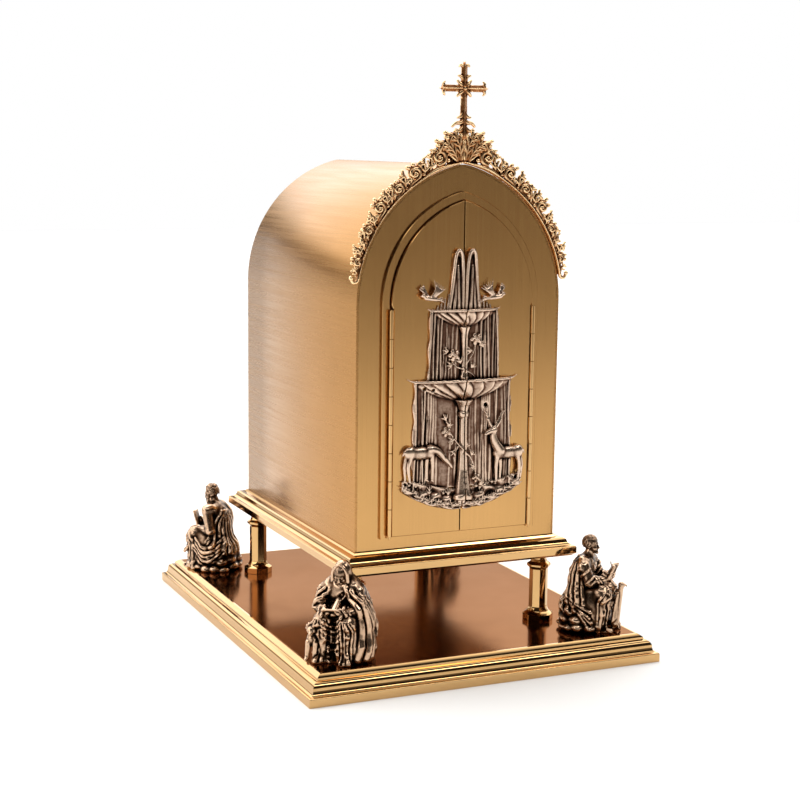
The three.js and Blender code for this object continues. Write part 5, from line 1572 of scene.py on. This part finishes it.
def reading_figure(wax, rng):
    """Young man with wavy hair who looks up from an open book, with an eagle before the knees."""
    rock_seat(wax, rng, 34)
    clothed_body(wax, 2)
    drape_legs(wax, rng)
    drape_lap(wax, rng)
    drape_chest(wax, rng, 1)
    drape_mantle(wax, rng, 88)
    # The mantle hangs from the -x shoulder in one broad sheet to the rock.
    wax.ball((-18, 7, 64), (8, 11, 22), 4)
    wax.ball((-20, 8, 44), (9, 13, 15), 4)
    folds(wax, rng, [[from_round(-78 - 13 * k, 84), from_round(-82 - 14 * k, 62),
                      from_round(-76 - 15 * k, 36)] for k in range(5)], 2.0, 1.5, 1.2, 1.3)
    folds(wax, rng, [[from_round(-120 + 8 * k, 42 - 3 * k), from_round(-90 + 4 * k, 34 - 5 * k),
                      from_round(-62, 27 - 7 * k)] for k in range(4)], 2.0, 1.3, 0.8, 1.3)
    arm(wax, rng, (-20, 1, 81), (-23, -8, 63), (-9, -25, 66))
    arm(wax, rng, (20, 1, 81), (23, -9, 62), (9, -26, 66))
    tablet(wax, (-5.6, -29, 74), (1, 0.4, 0), (0, -0.45, 0.9), 6.4, 9.5, 1.3)
    tablet(wax, (5.6, -29, 74), (1, -0.4, 0), (0, -0.45, 0.9), 6.4, 9.5, 1.3)
    wax.rod((0, -22.5, 66), (0, -31, 82.5), 1.3, 1.3, 0.5)
    hand(wax, (-9, -25, 66), (-5, -30.5, 68.5), (0.4, -0.2, 0.7))
    hand(wax, (9, -26, 66), (5.5, -31, 69), (0.4, -0.2, 0.7))
    wax.rod((5, -30, 70), (5, -26, 84), 1.1, 0.9, 0.4)
    # The eagle stands upright, its wings folded, and looks away to the front.
    wax.strand([(3, -34, 8), (4, -36, 26), (5, -38, 42), (5.5, -39.5, 52)], 5.4, 3.4, 1.5, pieces=10)
    wax.ball((5.5, -40.5, 56), (3.6, 4.4, 3.8), 1.0)
    wax.strand([(5.5, -44, 56.5), (5.5, -46.4, 56), (5.5, -47, 53.8)], 1.5, 0.6, 0.5)
    for side in (-1, 1):
        wing(wax, (5 + side * 4, -37, 46), (3 + side * 6.5, -32, 10), (3 + side * 4, -37, 16), 6, 1.5)
    for k in range(5):
        wax.rod((3 + (k - 2), -34, 14), (3 + (k - 2) * 2.2, -33, 1.5), 1.5, 1.1, 0.4)
    for side in (-1, 1):
        wax.strand([(4 + side * 2.5, -38, 10), (4 + side * 3.5, -40, 3)], 1.6, 1.2, 0.5)


def bare_armed_figure(wax, rng):
    """Curly-haired man, one shoulder and arm bare, with a small winged child before the knee."""
    rock_seat(wax, rng, 35)
    clothed_body(wax, 3)
    drape_legs(wax, rng)
    drape_lap(wax, rng)
    drape_mantle(wax, rng, 80)
    drape_chest(wax, rng, -1)
    wax.ball((-18, 8, 66), (8, 12, 20), 4)
    # The +x shoulder and arm are bare, the arm straight down and back along the lap.
    wax.ball((17, -1, 83), (8.5, 8.5, 8), 2)
    arm(wax, rng, (19, -1, 82), (24, 6, 56), (13, -20, 54), sleeve=False)
    arm(wax, rng, (-20, 0, 81), (-24, -7, 61), (-8, -26, 61))
    hand(wax, (13, -20, 54), (6, -27, 55), (0.3, -0.2, 0.7))
    tablet(wax, (-6, -29, 66), (1, 0.15, 0.1), (0, -0.3, 0.95), 8, 10.5, 1.6)
    hand(wax, (-8, -26, 60), (-6, -31, 63), (0.6, 0, 0.3))
    # Looping drapery is slung round the hip below the bare arm.
    for k in range(4):
        wax.lay([from_round(140, 46 - 3 * k), from_round(105, 36 - 6 * k), from_round(75, 33 - 6 * k),
                 from_round(50, 44 - 5 * k)], 2.3, 2.0, 1.0, 0.3)
        wax.lay([from_round(132, 41 - 4 * k), from_round(100, 31 - 6 * k), from_round(76, 29 - 6 * k),
                 from_round(56, 38 - 5 * k)], 1.5, 1.5, 0.8, -0.3, cut=True)
    wax.ball((8, -31, 14), (6.5, 6, 13), 2)
    wax.ball((9, -32, 27), (7.5, 6.4, 8), 1.5)
    wax.ball((9, -34, 37), (5.4, 5.6, 6), 1.0)
    for k in range(26):
        angle, up = rng.uniform(0, 6.28), rng.uniform(0, 1.4)
        wax.ball((9 + 5 * math.cos(angle) * math.cos(up), -33.4 + 5 * math.sin(angle) * math.cos(up),
                  38 + 5 * math.sin(up)), 1.5, 0.3)
    folds(wax, rng, [[from_round(a, 24, 8, -31), from_round(a, 12, 8, -31), from_round(a * 1.1, 2, 8, -31)]
                     for a in range(-75, 100, 25)], 1.4, 1.3, 0.8, 0.9)
    for side in (-1, 1):
        wing(wax, (9 + side * 6, -29, 31), (9 + side * 14, -30, 48), (9 + side * 11, -27, 22), 7, 1.5)
        wax.strand([(9 + side * 7, -33, 28), (9 + side * 7, -38, 22),
                    (9 + side * 2, -39, 25)], 2.4, 1.7, 0.6)
    wax.ball((20, -24, 6), (8, 8, 6), 1.2)


def resting_figure(wax, rng):
    """Bearded man with both hands on a closed book and a small ox lying at his feet."""
    rock_seat(wax, rng, 35)
    clothed_body(wax, 3)
    drape_legs(wax, rng)
    drape_lap(wax, rng)
    drape_chest(wax, rng, 1)
    drape_mantle(wax, rng, 88)
    wax.ball((18, 8, 64), (9, 12, 22), 4)
    arm(wax, rng, (-20, 1, 81), (-25, -7, 60), (-9, -26, 58))
    arm(wax, rng, (20, 1, 81), (25, -7, 60), (9, -26, 58))
    tablet(wax, (0, -27, 60), (1, 0, 0), (0, -0.85, 0.5), 10.5, 8, 2.4)
    hand(wax, (-9, -26, 60), (-2.5, -30, 63), (0.3, -0.5, 0.5))
    hand(wax, (9, -26, 60), (2.5, -30, 63), (0.3, -0.5, 0.5))
    wax.ball((-15, -27, 14), (11, 9, 10), 2)
    wax.ball((-20, -25, 8), (9, 10, 8), 2)
    beast_head(wax, (-15, -35, 27), 5.4, (0.1, -1, -0.35), horns=True)


# Where each sits, how its head is set and turned, its hair, and which way it faces.
figures = (
    ("front_left", hooded_figure, (-161, -227), (0, -4.2, 98.0), (4, 24, 0), ("none", True, True), -45),
    ("front_right", reading_figure, (161, -227), (0, -2.5, 103.5), (0, -2, 0), ("wavy",), 45),
    ("back_left", bare_armed_figure, (-171.1, 217), (0, -4.0, 103.0), (10, 14, 0), ("curls", True), -135),
    ("back_right", resting_figure, (171.1, 217), (0, -4.0, 103.0), (-8, 10, 0), ("wavy", True), 135))
for seed, (corner, shape, centre, head_at, head_turn, looks, facing) in enumerate(figures):
    chance = np.random.default_rng(20 + seed)
    body = Wax((-45, -52, -2), (45, 42, 118), 1.0)
    shape(body, chance)
    body.field = np.maximum(body.field, -body.axes[2][None, None, :])
    head_points, head_quads = head(chance, *looks)
    head_points = head_points @ turned_by(*head_turn).T + np.array(head_at)
    spin = turned_by(facing, 0)
    seat = np.array([*centre, base_top_at])
    cast_piece("figure_" + corner + "_cast", [body.skin(), (head_points, head_quads)],
               lambda points: points @ spin.T + seat,
               "house", dark_bronze, "figure_" + corner)
